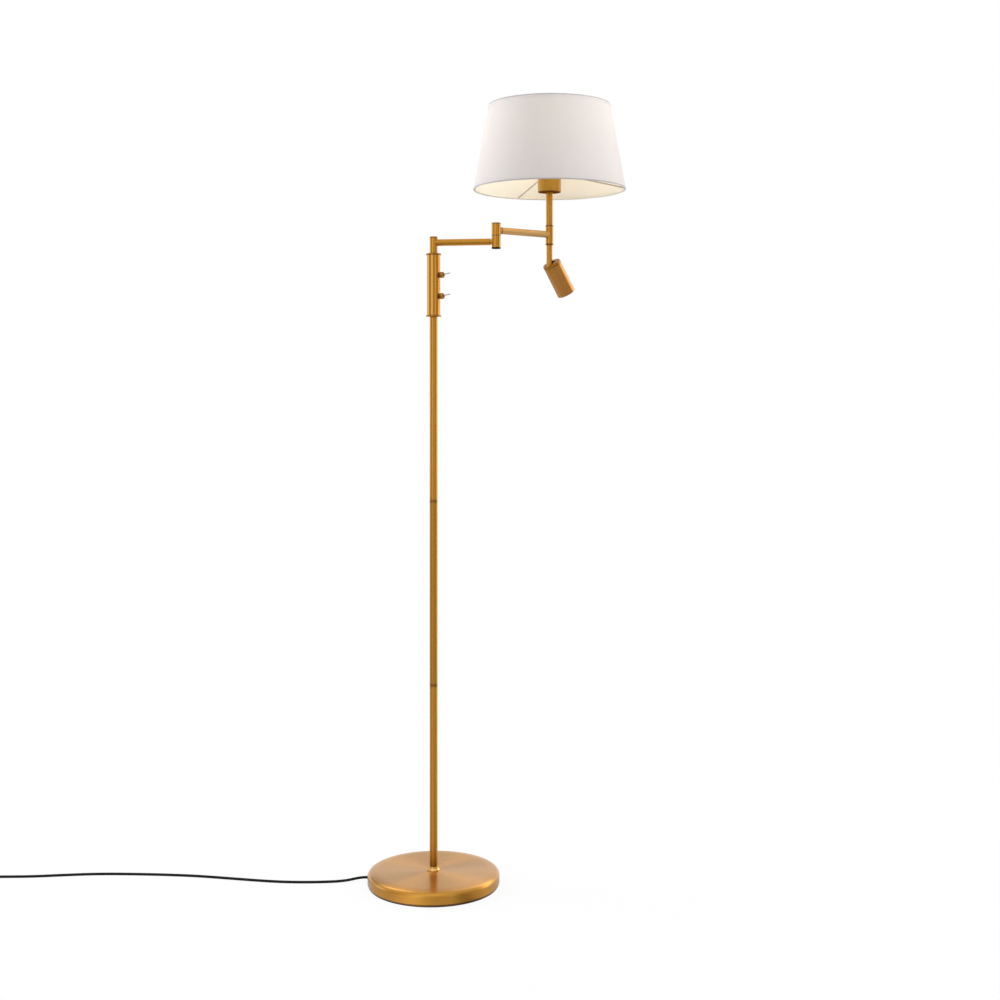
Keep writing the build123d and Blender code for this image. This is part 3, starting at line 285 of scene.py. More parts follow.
def rounded(t, power):
    """Outline of a rounded rectangle of half size 1, (sgn(cos t) |cos t|^p, sgn(sin t) |sin t|^p), which is
    |x|^(2/p) + |y|^(2/p) = 1."""
    c, s = np.cos(t), np.sin(t)
    return np.sign(c) * np.abs(c) ** power, np.sign(s) * np.abs(s) ** power


def swept(path, sides, section, closed=(False, True), material=0):
    """A profile carried along a path: path(s) + x side(s) + y rise(s), where the section gives x and y
    for each path point. path is (n, 3), sides two (n, 3) arrays, section is (n, m, 2)."""
    points = (
        path[:, None, :] + section[..., :1] * sides[0][:, None, :] + section[..., 1:] * sides[1][:, None, :]
    )
    return {"points": points, "edge": np.zeros(points.shape[:2]), "closed": closed, "material": material}


def capped(grid):
    """Closes both ends of a swept grid with a point at the middle of its first and last row."""
    points = grid["points"]
    ends = [np.repeat(row.mean(0)[None], len(row), 0)[None] for row in (points[0], points[-1])]
    grid["points"] = np.concatenate([ends[0], points, ends[1]])
    grid["edge"] = np.pad(grid["edge"], ((1, 1), (0, 0)))
    return grid


def quads(rows, columns, wrap_rows, wrap_columns):
    """Corner indices of a grid's quads into its points, and each corner's row and column, which run on past
    the last one where the grid closes."""
    i, j = np.meshgrid(
        np.arange(rows if wrap_rows else rows - 1), np.arange(columns if wrap_columns else columns - 1),
        indexing="ij",
    )
    i, j = i.ravel(), j.ravel()
    corner_i = np.stack([i, i, i + 1, i + 1], 1)
    corner_j = np.stack([j, j + 1, j + 1, j], 1)
    return (corner_i % rows) * columns + corner_j % columns, corner_i, corner_j


def make_piece(name, grids, finish, body, slot, *nodes):
    """Joins grids into one mesh at the origin. The UV map Turn holds the share of a turn and the length
    along the profile in metres; the attribute edge marks rounded edges and tone gathers patina and painted
    shade. The piece rides on a body and stands for the named solids; slot is not used."""
    points, faces, maps, edges, tones, materials, start = [], [], [], [], [], [], 0
    for grid in grids:
        rows, columns = grid["points"].shape[:2]
        face, corner_i, corner_j = quads(rows, columns, *grid["closed"])
        step = np.linalg.norm(np.diff(grid["points"], axis=0, append=grid["points"][:1]), axis=2).mean(1)
        along = np.concatenate([[0.0], np.cumsum(step)]) + grid.get("offset", 0.0)
        points.append(grid["points"].reshape(-1, 3))
        edges.append(grid["edge"].ravel())
        tones.append(np.broadcast_to(grid.get("tone", 0.0), (rows, columns)).ravel())
        faces.append(face + start)
        maps.append(np.stack([corner_j / columns, along[corner_i]], 2).reshape(-1, 2))
        materials.append(np.full(len(face), grid["material"]))
        start += rows * columns
    mesh = bpy.data.meshes.new(name)
    mesh.from_pydata(np.vstack(points).tolist(), [], np.vstack(faces).tolist())
    mesh.uv_layers.new(name="Turn").data.foreach_set("uv", np.vstack(maps).ravel())
    for label, values in (("edge", edges), ("tone", tones)):
        data = mesh.attributes.new(label, "FLOAT", "POINT").data
        data.foreach_set("value", np.concatenate(values).astype(np.float32))
    mesh.polygons.foreach_set("material_index", np.concatenate(materials).astype(np.int32))
    shell = bmesh.new()
    shell.from_mesh(mesh)
    bmesh.ops.remove_doubles(shell, verts=shell.verts, dist=SAME_POINT)
    shell.to_mesh(mesh)
    shell.free()
    mesh.polygons.foreach_set("use_smooth", np.ones(len(mesh.polygons), bool))
    for material in finish if isinstance(finish, (list, tuple)) else [finish]:
        mesh.materials.append(material)
    piece = bpy.data.objects.new(name, mesh)
    bpy.context.scene.collection.objects.link(piece)
    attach(piece, body)
    if nodes:
        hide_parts(*nodes)
    return piece


def face_values(mesh, name):
    """A vector property of all faces, as rows of three."""
    values = np.zeros(len(mesh.polygons) * 3)
    mesh.polygons.foreach_get(name, values)
    return values.reshape(-1, 3)


def dress(material, *nodes):
    """Gives solids that stay in view a detailed material."""
    for node in nodes:
        solid = frame["nodes"][node]
        solid.data.materials.clear()
        solid.data.materials.append(material)


# Materials


class Nodes:
    """Small helper for the node tree of a material or surround: adds nodes, sets sockets and links them."""

    def __init__(self, name, home=None):
        self.material = (bpy.data.materials if home is None else home).new(name)
        self.material.use_nodes = True
        self.tree = self.material.node_tree
        self.shader = self.tree.nodes.get("Principled BSDF")
        self.out = self.tree.nodes.get("Material Output") or self.tree.nodes["World Output"]

    def add(self, kind, options=None, **sockets):
        node = self.tree.nodes.new(kind)
        for key, value in (options or {}).items():
            setattr(node, key, value)
        for key, value in sockets.items():
            self.put(node.inputs[key.replace("_", " ")], value)
        return node

    def put(self, socket, value):
        if isinstance(value, bpy.types.NodeSocket):
            self.tree.links.new(value, socket)
        else:
            socket.default_value = value

    def math(self, operation, first, second=0.0, third=0.0):
        node = self.tree.nodes.new("ShaderNodeMath")
        node.operation = operation
        for socket, value in zip(node.inputs, (first, second, third)):
            self.put(socket, value)
        return node.outputs[0]

    def times(self, first, second):
        return self.math("MULTIPLY", first, second)

    def plus(self, first, second):
        return self.math("ADD", first, second)

    def vector(self, x, y, z):
        node = self.tree.nodes.new("ShaderNodeCombineXYZ")
        for socket, value in zip(node.inputs, (x, y, z)):
            self.put(socket, value)
        return node.outputs[0]

    def split(self, vector):
        return self.add("ShaderNodeSeparateXYZ", Vector=vector).outputs

    def noise(self, vector, scale=1.0, detail=3.0, roughness=0.55):
        node = self.add("ShaderNodeTexNoise", Scale=scale, Detail=detail, Roughness=roughness, Vector=vector)
        return node.outputs["Fac"]

    def ramp(self, value, low, high, low_to=0.0, high_to=1.0, smooth=False):
        node = self.tree.nodes.new("ShaderNodeMapRange")
        node.interpolation_type = "SMOOTHSTEP" if smooth else "LINEAR"
        for socket, number in zip(node.inputs, (value, low, high, low_to, high_to)):
            self.put(socket, number)
        return node.outputs[0]

    def bell(self, value, centre, width, strength=1.0):
        """Bell of width w round a centre c, strength exp(-((x - c) / w)^2)."""
        away = self.math("DIVIDE", self.math("SUBTRACT", value, centre), width)
        return self.times(self.math("EXPONENT", self.times(self.times(away, away), -1.0)), strength)

    def mix(self, factor, first, second):
        node = self.add("ShaderNodeMix", {"data_type": "RGBA"})
        self.put(node.inputs[0], factor)
        for socket, value in zip((node.inputs[6], node.inputs[7]), (first, second)):
            self.put(socket, value if isinstance(value, bpy.types.NodeSocket) else (*value[:3], 1.0))
        return node.outputs[2]

    def bump(self, height, strength, distance):
        node = self.add("ShaderNodeBump", Strength=strength, Distance=distance, Height=height)
        return node.outputs["Normal"]

    def unrolled(self):
        """Share of a turn and length along the profile, from the piece's own UV map."""
        return self.split(self.add("ShaderNodeUVMap", {"uv_map": "Turn"}).outputs[0])[:2]

    def turn(self):
        """Cosine and sine of the share of a turn, so that patterns close, and the profile length."""
        share, along = self.unrolled()
        around = self.times(share, 2 * pi)
        return self.math("COSINE", around), self.math("SINE", around), along

    def attribute(self, name):
        return self.add("ShaderNodeAttribute", {"attribute_name": name}).outputs["Fac"]

    def object_point(self):
        return self.add("ShaderNodeTexCoord").outputs["Object"]

    def rays(self):
        """Whether a ray comes from the camera, and whether metal or glass sent it on."""
        path = self.add("ShaderNodeLightPath").outputs
        return path["Is Camera Ray"], self.math("MAXIMUM", path["Is Glossy Ray"], path["Is Transmission Ray"])

    def set(self, **sockets):
        for key, value in sockets.items():
            socket = self.shader.inputs[key.replace("_", " ")]
            if not isinstance(value, bpy.types.NodeSocket) and hasattr(value, "__len__") and len(value) == 3:
                value = (*value, 1.0) if socket.type == "RGBA" else value
            self.put(socket, value)

    def blend(self, factor, first, second):
        """Mixes two shaders into the output."""
        node = self.add("ShaderNodeMixShader", Fac=factor)
        self.put(node.inputs[1], first.outputs[0])
        self.put(node.inputs[2], second.outputs[0])
        self.put(self.out.inputs["Surface"], node.outputs[0])


def scaled(tone, factor):
    """A colour, darker or lighter by a factor."""
    return [factor * x for x in tone]


def brushed(
    name, main, dark, patina, anisotropy=0.75, low=0.28, high=0.38, grain=3000.0, rim=0.75, coat=0.35,
    veil=0.14, streaks=1.0, cloudy=0.3,
):
    """Brushed and lacquered brass: fine lines run round the piece, noise over (cos u, sin u) with little
    change along them and much across; slow clouds tint it; patina gathers on rims and near joints, and the
    tone attribute adds patina colour that on some pieces is painted shade. low and high bound the roughness,
    grain is the lines' fineness, rim the patina of rounded edges, coat and veil the lacquer's weight and
    roughness, streaks and cloudy the clouds' fineness round the piece and weight."""
    n = Nodes(name)
    c, s, along = n.turn()
    lines = n.noise(n.vector(n.times(c, 2.0), n.times(s, 2.0), n.times(along, grain)), 1.0, 3.0, 0.6)
    clouds = n.noise(n.vector(n.times(c, streaks), n.times(s, streaks), n.times(along, 14.0)), 1.3, 3.0, 0.6)
    # aged: patina of rounded edges plus tone, which on some pieces is painted shade
    aged = n.math("MULTIPLY_ADD", n.attribute("edge"), rim, n.attribute("tone"))
    aged = n.times(aged, n.ramp(clouds, 0.3, 0.7, 0.8, 1.0))
    tone = n.mix(n.ramp(lines, 0.3, 0.75), dark, main)
    tone = n.mix(n.ramp(clouds, 0.3, 0.7, 0.0, cloudy), tone, dark)
    n.set(
        Base_Color=n.mix(aged, tone, patina), Metallic=1.0, Anisotropic=anisotropy, Anisotropic_Rotation=0.25,
        Roughness=n.math("MULTIPLY_ADD", aged, 0.1, n.ramp(lines, 0.25, 0.75, low, high)),
        Coat_Weight=coat, Coat_Roughness=veil, Normal=n.bump(lines, 0.06, 0.03 * MM),
        Tangent=n.add("ShaderNodeTangent", {"direction_type": "UV_MAP", "uv_map": "Turn"}).outputs[0],
    )
    return n.material


def polished(name, main, dark, rough=0.14):
    """Polished metal: a bright surface with faint turning lines and a few cloudy finger-worn patches."""
    n = Nodes(name)
    c, s, along = n.turn()
    lines = n.noise(n.vector(c, s, n.times(along, 2500.0)), 1.0, 2.0, 0.5)
    clouds = n.noise(n.vector(c, s, n.times(along, 60.0)), 2.0, 3.0, 0.6)
    n.set(
        Base_Color=n.mix(n.ramp(clouds, 0.35, 0.75, 0.0, 0.4), main, dark), Metallic=1.0,
        Roughness=n.ramp(clouds, 0.3, 0.7, rough, rough + 0.12), Normal=n.bump(lines, 0.05, 0.02 * MM),
    )
    return n.material


def speckled(
    name, main, other, scale, rough=(0.4, 0.6), relief=0.05 * MM, metallic=0.0, strength=0.3, shine=0.5
):
    """Moulded, cast or turned surface on Object coordinates: fine speckle, slow clouds and a bump."""
    n = Nodes(name)
    point = n.object_point()
    fine = n.noise(point, scale, 4.0, 0.6)
    slow = n.noise(point, scale / 14, 3.0, 0.5)
    both = n.math("MULTIPLY_ADD", fine, 0.6, n.times(slow, 0.4))
    n.set(
        Base_Color=n.mix(n.ramp(both, 0.35, 0.65), main, other), Metallic=metallic,
        Roughness=n.ramp(slow, 0.3, 0.7, *rough), Normal=n.bump(fine, strength, relief),
        Specular_IOR_Level=shine,
    )
    return n.material


def woven(name, main, other, through, thread=0.55 * MM):
    """Plain weave on a stiff lining: over-and-under threads as sin(x) sin(y) on arc length and height,
    slubs as noise stretched along each thread, and some light let through from inside."""
    # Metres round the drum, and slubs per metre across and along a thread
    girth, fine, coarse = 0.84, 1500.0, 60.0
    n = Nodes(name)
    share, height = n.unrolled()
    round_it = n.times(share, girth)
    weft = n.math("SINE", n.times(round_it, 2 * pi / thread))
    warp = n.math("SINE", n.times(height, 2 * pi / thread))
    weave = n.math("MULTIPLY_ADD", n.times(weft, warp), 0.5, 0.5)
    slub_across = n.noise(n.vector(n.times(round_it, coarse), n.times(height, fine), 0.0), 1.0, 3.0)
    slub_up = n.noise(n.vector(n.times(round_it, fine), n.times(height, coarse), 4.0), 1.0, 3.0)
    slub = n.math("MULTIPLY_ADD", slub_across, 0.5, n.times(slub_up, 0.5))
    cloth = n.mix(n.ramp(slub, 0.35, 0.65, 0.0, 0.5), main, other)
    cloth = n.mix(n.times(weave, 0.12), cloth, scaled(main, 0.86))
    normal = n.bump(n.math("MULTIPLY_ADD", weave, 0.5, slub), 0.25, 0.08 * MM)
    n.set(
        Base_Color=cloth, Roughness=0.9, Sheen_Weight=0.25, Sheen_Roughness=0.5, Specular_IOR_Level=0.15,
        Normal=normal,
    )
    n.blend(through, n.shader, n.add("ShaderNodeBsdfTranslucent", Color=cloth, Normal=normal))
    return n.material


def sheathed(name, main, other):
    """Smooth extruded sheath: specks of dust and slow changes of gloss, both on Object coordinates."""
    n = Nodes(name)
    point = n.object_point()
    dust = n.noise(point, 700.0, 4.0, 0.7)
    slow = n.noise(point, 35.0, 3.0, 0.5)
    n.set(
        Base_Color=n.mix(n.ramp(dust, 0.55, 0.8, 0.0, 0.5), main, other),
        Roughness=n.ramp(slow, 0.3, 0.7, 0.42, 0.58), Normal=n.bump(dust, 0.15, 0.03 * MM),
        Specular_IOR_Level=0.2,
    )
    return n.material


def glass(name, tint, rough, glow=None, strength=0.0, transmission=1.0):
    """Bulb or lens glass: faint ripples on Object coordinates, frosted by its roughness."""
    n = Nodes(name)
    ripple = n.noise(n.object_point(), 220.0, 2.0, 0.5)
    n.set(
        Base_Color=n.mix(n.ramp(ripple, 0.4, 0.6, 0.0, 0.3), tint, scaled(tint, 0.95)), Roughness=rough,
        Transmission_Weight=transmission, IOR=1.5, Normal=n.bump(ripple, 0.04, 0.1 * MM),
    )
    if glow:
        n.set(Emission_Color=glow, Emission_Strength=strength)
    return n.material


def rings_round(name, top, beam, main, dark, patina):
    """Brushed brass of a solid, on Object coordinates turned so that z runs along the beam from its top:
    rings round the beam, noise that changes fast with the distance from its line plus the depth, and clouds
    of patina."""
    n = Nodes(name)
    turn = Vector(beam).rotation_difference(Vector(UP)).to_matrix()
    mapping = n.add("ShaderNodeMapping", Vector=n.object_point())
    mapping.inputs["Rotation"].default_value = turn.to_euler()
    mapping.inputs["Location"].default_value = -(turn @ Vector(top))
    point = mapping.outputs[0]
    x, y, z = n.split(point)
    away = n.math("SQRT", n.plus(n.times(x, x), n.times(y, y)))
    rings = n.vector(n.times(x, 90.0), n.times(y, 90.0), n.times(n.plus(away, z), 3600.0))
    lines = n.noise(rings, 1.0, 4.0, 0.65)
    clouds = n.noise(point, 60.0, 3.0, 0.6)
    tone = n.mix(n.ramp(lines, 0.3, 0.75), dark, main)
    tone = n.mix(n.ramp(clouds, 0.3, 0.7, 0.25, 0.55), tone, patina)
    n.set(
        Base_Color=tone, Metallic=1.0, Roughness=n.ramp(lines, 0.25, 0.75, 0.22, 0.38),
        Normal=n.bump(lines, 0.12, 0.05 * MM),
    )
    return n.material


FINISH = {}


def make_finishes():
    """All materials that pieces share, made once."""
    f = finishes()
    brass, dark, patina, pale = tuple(f.brass), tuple(f.brass_dark), tuple(f.patina), tuple(f.brass_pale)
    fabric, trim, lining = tuple(f.fabric), tuple(f.trim), tuple(f.lining)
    cord, plastic, holder, wire = tuple(f.cord), tuple(f.plastic), tuple(f.holder), tuple(f.wire)
    fine = 0.02 * MM
    metal = {"relief": fine, "metallic": 1.0, "strength": 0.1}
    arm = {"anisotropy": 0.92, "low": 0.36, "high": 0.46}
    FINISH.update(
        brass=brushed("brushed_brass", brass, dark, patina),
        glossy=brushed(
            "brushed_brass_housing", brass, dark, patina, anisotropy=0.7, low=0.18, high=0.26, coat=0.6
        ),
        arm=brushed("brushed_brass_arm", brass, dark, patina, **arm),
        # painted light: the upper arm's brass is the paler copy
        upper_arm=brushed("brushed_brass_upper_arm", pale, scaled(pale, 0.86), patina, **arm),
        cup=brushed(
            "brushed_brass_cup", tuple(f.brass_olive), (0.50, 0.24, 0.03), patina, streaks=1.5, cloudy=0.7
        ),
        spot=brushed(
            "brushed_brass_spot", (*brass[:2], 0.045), (0.52, 0.20, 0.022), patina, anisotropy=0.5, low=0.30,
            high=0.40, coat=0.9, veil=0.1, streaks=3.5, cloudy=0.7,
        ),
        base=brushed(
            "brushed_brass_base", brass, dark, patina, anisotropy=0.9, low=0.26, high=0.34, grain=2400.0,
            rim=0.0, coat=0.7, veil=0.24,
        ),
        polished=polished("polished_brass", tuple(f.brass_bright), brass),
        chrome=polished("bright_chrome", (0.72, 0.72, 0.73), (0.55, 0.55, 0.57), 0.08),
        fabric=woven("shade_weave", fabric, scaled(fabric, 0.95), 0.30),
        trim=woven("shade_tape", trim, scaled(trim, 0.9), 0.1),
        lining=woven("shade_lining", lining, scaled(lining, 0.97), 0.40, 0.9 * MM),
        cord=sheathed("cord_sheath", cord, [x + 0.006 for x in cord]),
        # painted shade: dull dark brown for the cup's downward faces
        underside=speckled(
            "cup_underside", (0.16, 0.05, 0.006), (0.12, 0.036, 0.004), 1500.0, (0.7, 0.85), fine, shine=0.0
        ),
        plug=speckled(
            "elbow_plug_black", (0.010, 0.006, 0.004), (0.018, 0.011, 0.007), 1800.0, (0.6, 0.75), shine=0.1
        ),
        plastic=speckled(
            "black_plastic", plastic, [x + 0.02 for x in plastic], 1800.0, (0.5, 0.7), shine=0.2
        ),
        holder=speckled("holder_plastic", holder, scaled(holder, 0.93), 900.0, (0.22, 0.34), fine),
        wire=speckled("wire_coating", wire, scaled(wire, 0.9), 1200.0, (0.35, 0.5), fine),
        iron=speckled(
            "cast_iron", (0.055, 0.055, 0.057), (0.09, 0.085, 0.08), 600.0, (0.6, 0.8), 0.2 * MM, metallic=0.6
        ),
        pad=speckled(
            "pad_rubber", (0.012, 0.011, 0.011), (0.03, 0.028, 0.026), 1500.0, (0.8, 0.95), 0.1 * MM
        ),
        steel=speckled("turned_steel", (0.46, 0.46, 0.47), (0.36, 0.36, 0.37), 1500.0, (0.25, 0.38), **metal),
        bare=speckled("turned_brass", brass, dark, 1500.0, (0.25, 0.4), **metal),
        alloy=speckled(
            "turned_aluminium", (0.60, 0.60, 0.61), (0.52, 0.52, 0.53), 1500.0, (0.3, 0.42), **metal
        ),
        board=speckled("led_board", (0.78, 0.78, 0.74), (0.70, 0.70, 0.66), 1200.0, (0.4, 0.5), fine),
        washer=speckled(
            "bearing_washer", (0.05, 0.032, 0.016), (0.08, 0.05, 0.025), 1500.0, (0.5, 0.65), fine
        ),
        bulb=glass("bulb_frosted", (0.72, 0.68, 0.60), 0.55, (1.0, 0.80, 0.52), 0.5, 0.3),
        lens=glass("spot_lens", (0.92, 0.94, 0.95), 0.06),
    )


# Operators, one for each group of pieces


class LAMP_OT_finishes(bpy.types.Operator):
    """Makes the lamp's materials"""

    bl_idname = "lamp.finishes"
    bl_label = "Finishes"

    def execute(self, context):
        make_finishes()
        return {"FINISHED"}


class LAMP_OT_stage(bpy.types.Operator):
    """Sets up the photograph's camera, a pale floor, soft studio lights and a white surround"""

    bl_idname = "lamp.stage"
    bl_label = "Stage"

    # Camera fitted to the photograph's outlines
    viewpoint, sensor, lens, shift = (0.12605, -2.72882, 0.93589), 36.0, 51.726, -0.10841

    # Each softbox's place, target, size, power and tint
    cool = (0.94, 0.965, 1.0)
    softboxes = {
        "left_softbox": ((-2.3, 0.5, 1.5), (0.1, 0, 0.9), (1.0, 2.4), 41, cool),
        "right_softbox": ((2.5, 0.75, 1.5), (0.1, 0, 0.9), (1.0, 2.4), 8, cool),
        "top_softbox": ((1.3, -0.5, 2.9), (0.1, 0, 0.5), (1.0, 1.0), 20, WHITE),
    }

    # Soft patches of the surround as (azimuth, width, strength), in degrees from the front to the right
    strips = (-27, 15, 1.0), (34, 9, 0.62), (-101, 15, 1.2)
    flare = (106, 13, 1.0)
    low_sky = (122, 15, 2.0), (48, 22, -0.65)
    high_sky = (-150, 36, -0.36), (0, 55, 0.3)
    wedge, patch = (148, 26, 1.7), (-150, 20, 3.2)
    band_dim, band_bright, flare_bright = (0.50, 0.45, 0.33), (1.45, 1.68, 2.2), (2.3, 2.3, 2.3)

    # The band's middle and sides in degrees; heights as sines of the elevation: the band's end, the low sky's
    # end, and the middle and width of wedge and patch
    band_middle, band_sides = -10, (100, 124)
    band_end, low_end, wedge_height, patch_height = (0.2, 0.42), (0.48, 0.66), (0.64, 0.12), (0.76, 0.11)
    ceiling = 0.74

    # Other light: its tint, and its strength from the front to the back
    ambient_tint, ambient_span, ambient_strength = (1.0, 0.985, 0.99, 1), (-0.75, 0.35), (0.49, 0.82)

    # Patches of the floor that metal sees in front of the lamp, and the metres over which the floor changes
    floor_strips, floor_near, floor_far = ((-24, 17, 0.5), (36, 11, -0.36)), 0.5, 0.42
    shadow_fade, strip_fade, back_fade, left_fade = (0.25, 1.2), (0.3, 0.7), (-0.1, 0.6), (-1.3, -0.6)
    lifted_near, lifted_in_metal = 0.9, 0.8
    floor_reach, floor_lines = 12.0, 9

    def camera(self, scene):
        """Level camera with a shifted frame."""
        data = bpy.data.cameras.new("camera")
        data.sensor_width, data.lens, data.shift_y = self.sensor, self.lens, self.shift
        data.clip_end = 100.0
        camera = bpy.data.objects.new("camera", data)
        camera.location = self.viewpoint
        camera.rotation_euler = (radians(90), 0, 0)
        scene.collection.objects.link(camera)
        scene.camera = camera

    def light(self, scene, name, place, target, size, power, tint):
        """Area light aimed at a target; metal doesn't mirror it."""
        data = bpy.data.lights.new(name, "AREA")
        data.shape, data.size, data.size_y, data.energy, data.color = "RECTANGLE", *size, power, tint
        lamp = bpy.data.objects.new(name, data)
        lamp.location = place
        lamp.rotation_euler = (Vector(target) - Vector(place)).to_track_quat("-Z", "Y").to_euler()
        lamp.visible_glossy = False
        scene.collection.objects.link(lamp)

    def round_about(self, n, azimuth, start, *bells):
        """A start level plus bells of the azimuth."""
        for centre, width, strength in bells:
            start = n.plus(n.bell(azimuth, radians(centre), radians(width), strength), start)
        return start

    def surround(self, scene):
        """Backdrop: white to the camera. Metal and glass see it white behind the lamp, and in front a dim
        warm band that holds tall soft strips, exp(-((a - a0) / w)^2) of the azimuth a, with a bright flare on
        the right. Above the band is a pale ceiling with brighter and dimmer patches, bells of the azimuth
        times bells or steps of the height. Other light comes from all round, less from the front."""
        n = Nodes("surround", bpy.data.worlds)
        x, y, z = n.split(n.add("ShaderNodeTexCoord").outputs["Generated"])
        azimuth = n.math("ARCTAN2", x, n.times(y, -1.0))

        def patches(start, *bells):
            return self.round_about(n, azimuth, start, *bells)

        band = n.mix(patches(0.0, *self.strips), self.band_dim, self.band_bright)
        aside = n.math("ABSOLUTE", n.plus(azimuth, radians(-self.band_middle)))
        band = n.mix(n.ramp(aside, *map(radians, self.band_sides), smooth=True), band, WHITE)
        band = n.mix(patches(0.0, self.flare), band, self.flare_bright)
        low = n.ramp(z, *self.low_end, 1.0, 0.0, smooth=True)
        sky = n.math("MULTIPLY_ADD", low, patches(0.0, *self.low_sky), patches(self.ceiling, *self.high_sky))
        sky = n.plus(sky, n.times(patches(0.0, self.wedge), n.bell(z, *self.wedge_height)))
        sky = n.plus(sky, n.times(patches(0.0, self.patch), n.bell(z, *self.patch_height)))
        colour_seen = n.mix(n.ramp(z, *self.band_end, smooth=True), band, n.vector(sky, sky, sky))
        seen, mirrored = n.rays()
        backdrop = n.add("ShaderNodeBackground", Color=n.mix(seen, colour_seen, WHITE), Strength=1.0)
        ambient = n.tree.nodes["Background"]
        ambient.inputs[0].default_value = self.ambient_tint
        n.put(ambient.inputs[1], n.ramp(y, *self.ambient_span, *self.ambient_strength, smooth=True))
        n.blend(n.math("MAXIMUM", seen, mirrored), ambient, backdrop)
        scene.world = n.material

    def floor(self, scene):
        """A large flat grid, z = 0. To the camera it is lifted to white, less so near the lamp, where it
        keeps the soft shadow; in metal and glass it is white behind the lamp, and in front a dim plain level
        with a pale and a dark strip near the lamp. The white fades far out to the left."""
        n = Nodes("floor_pale")
        point = n.object_point()
        tint = tuple(finishes().floor)
        grain = n.ramp(n.noise(point, 40.0, 2.0, 0.5), 0.4, 0.6)
        n.set(Base_Color=n.mix(grain, tint, scaled(tint, 0.99)), Roughness=0.9)
        x, y, _ = n.split(point)
        away = n.add("ShaderNodeVectorMath", {"operation": "LENGTH"}, Vector=point).outputs["Value"]
        seen, mirrored = n.rays()
        to_camera = n.times(seen, n.ramp(away, *self.shadow_fade, self.lifted_near, 1.0, smooth=True))
        side = n.math("ARCTAN2", x, n.times(y, -1.0))
        beside = self.round_about(n, side, self.floor_near, *self.floor_strips)
        far = n.ramp(away, *self.strip_fade, smooth=True)
        ahead = n.math("MULTIPLY_ADD", far, n.math("SUBTRACT", self.floor_far, beside), beside)
        behind = n.times(n.ramp(y, *self.back_fade, smooth=True), n.ramp(x, *self.left_fade, smooth=True))
        level = n.math("MULTIPLY_ADD", behind, n.math("SUBTRACT", 1.0, ahead), ahead)
        lift = n.add("ShaderNodeEmission", Strength=n.math("MAXIMUM", level, seen))
        n.blend(n.math("MAXIMUM", to_camera, n.times(mirrored, self.lifted_in_metal)), n.shader, lift)
        line = np.linspace(-self.floor_reach, self.floor_reach, self.floor_lines)
        x, y = np.meshgrid(line, line, indexing="xy")
        points = np.stack([x.ravel(), y.ravel(), np.zeros(x.size)], 1)
        faces, _, _ = quads(self.floor_lines, self.floor_lines, False, False)
        mesh = bpy.data.meshes.new("floor")
        mesh.from_pydata(points.tolist(), [], faces[:, ::-1].tolist())
        mesh.materials.append(n.material)
        floor = bpy.data.objects.new("floor", mesh)
        scene.collection.objects.link(floor)

    def execute(self, context):
        scene = context.scene
        scene.view_settings.view_transform = "Standard"
        self.camera(scene)
        self.surround(scene)
        self.floor(scene)
        for name, settings in self.softboxes.items():
            self.light(scene, name, *settings)
        return {"FINISHED"}


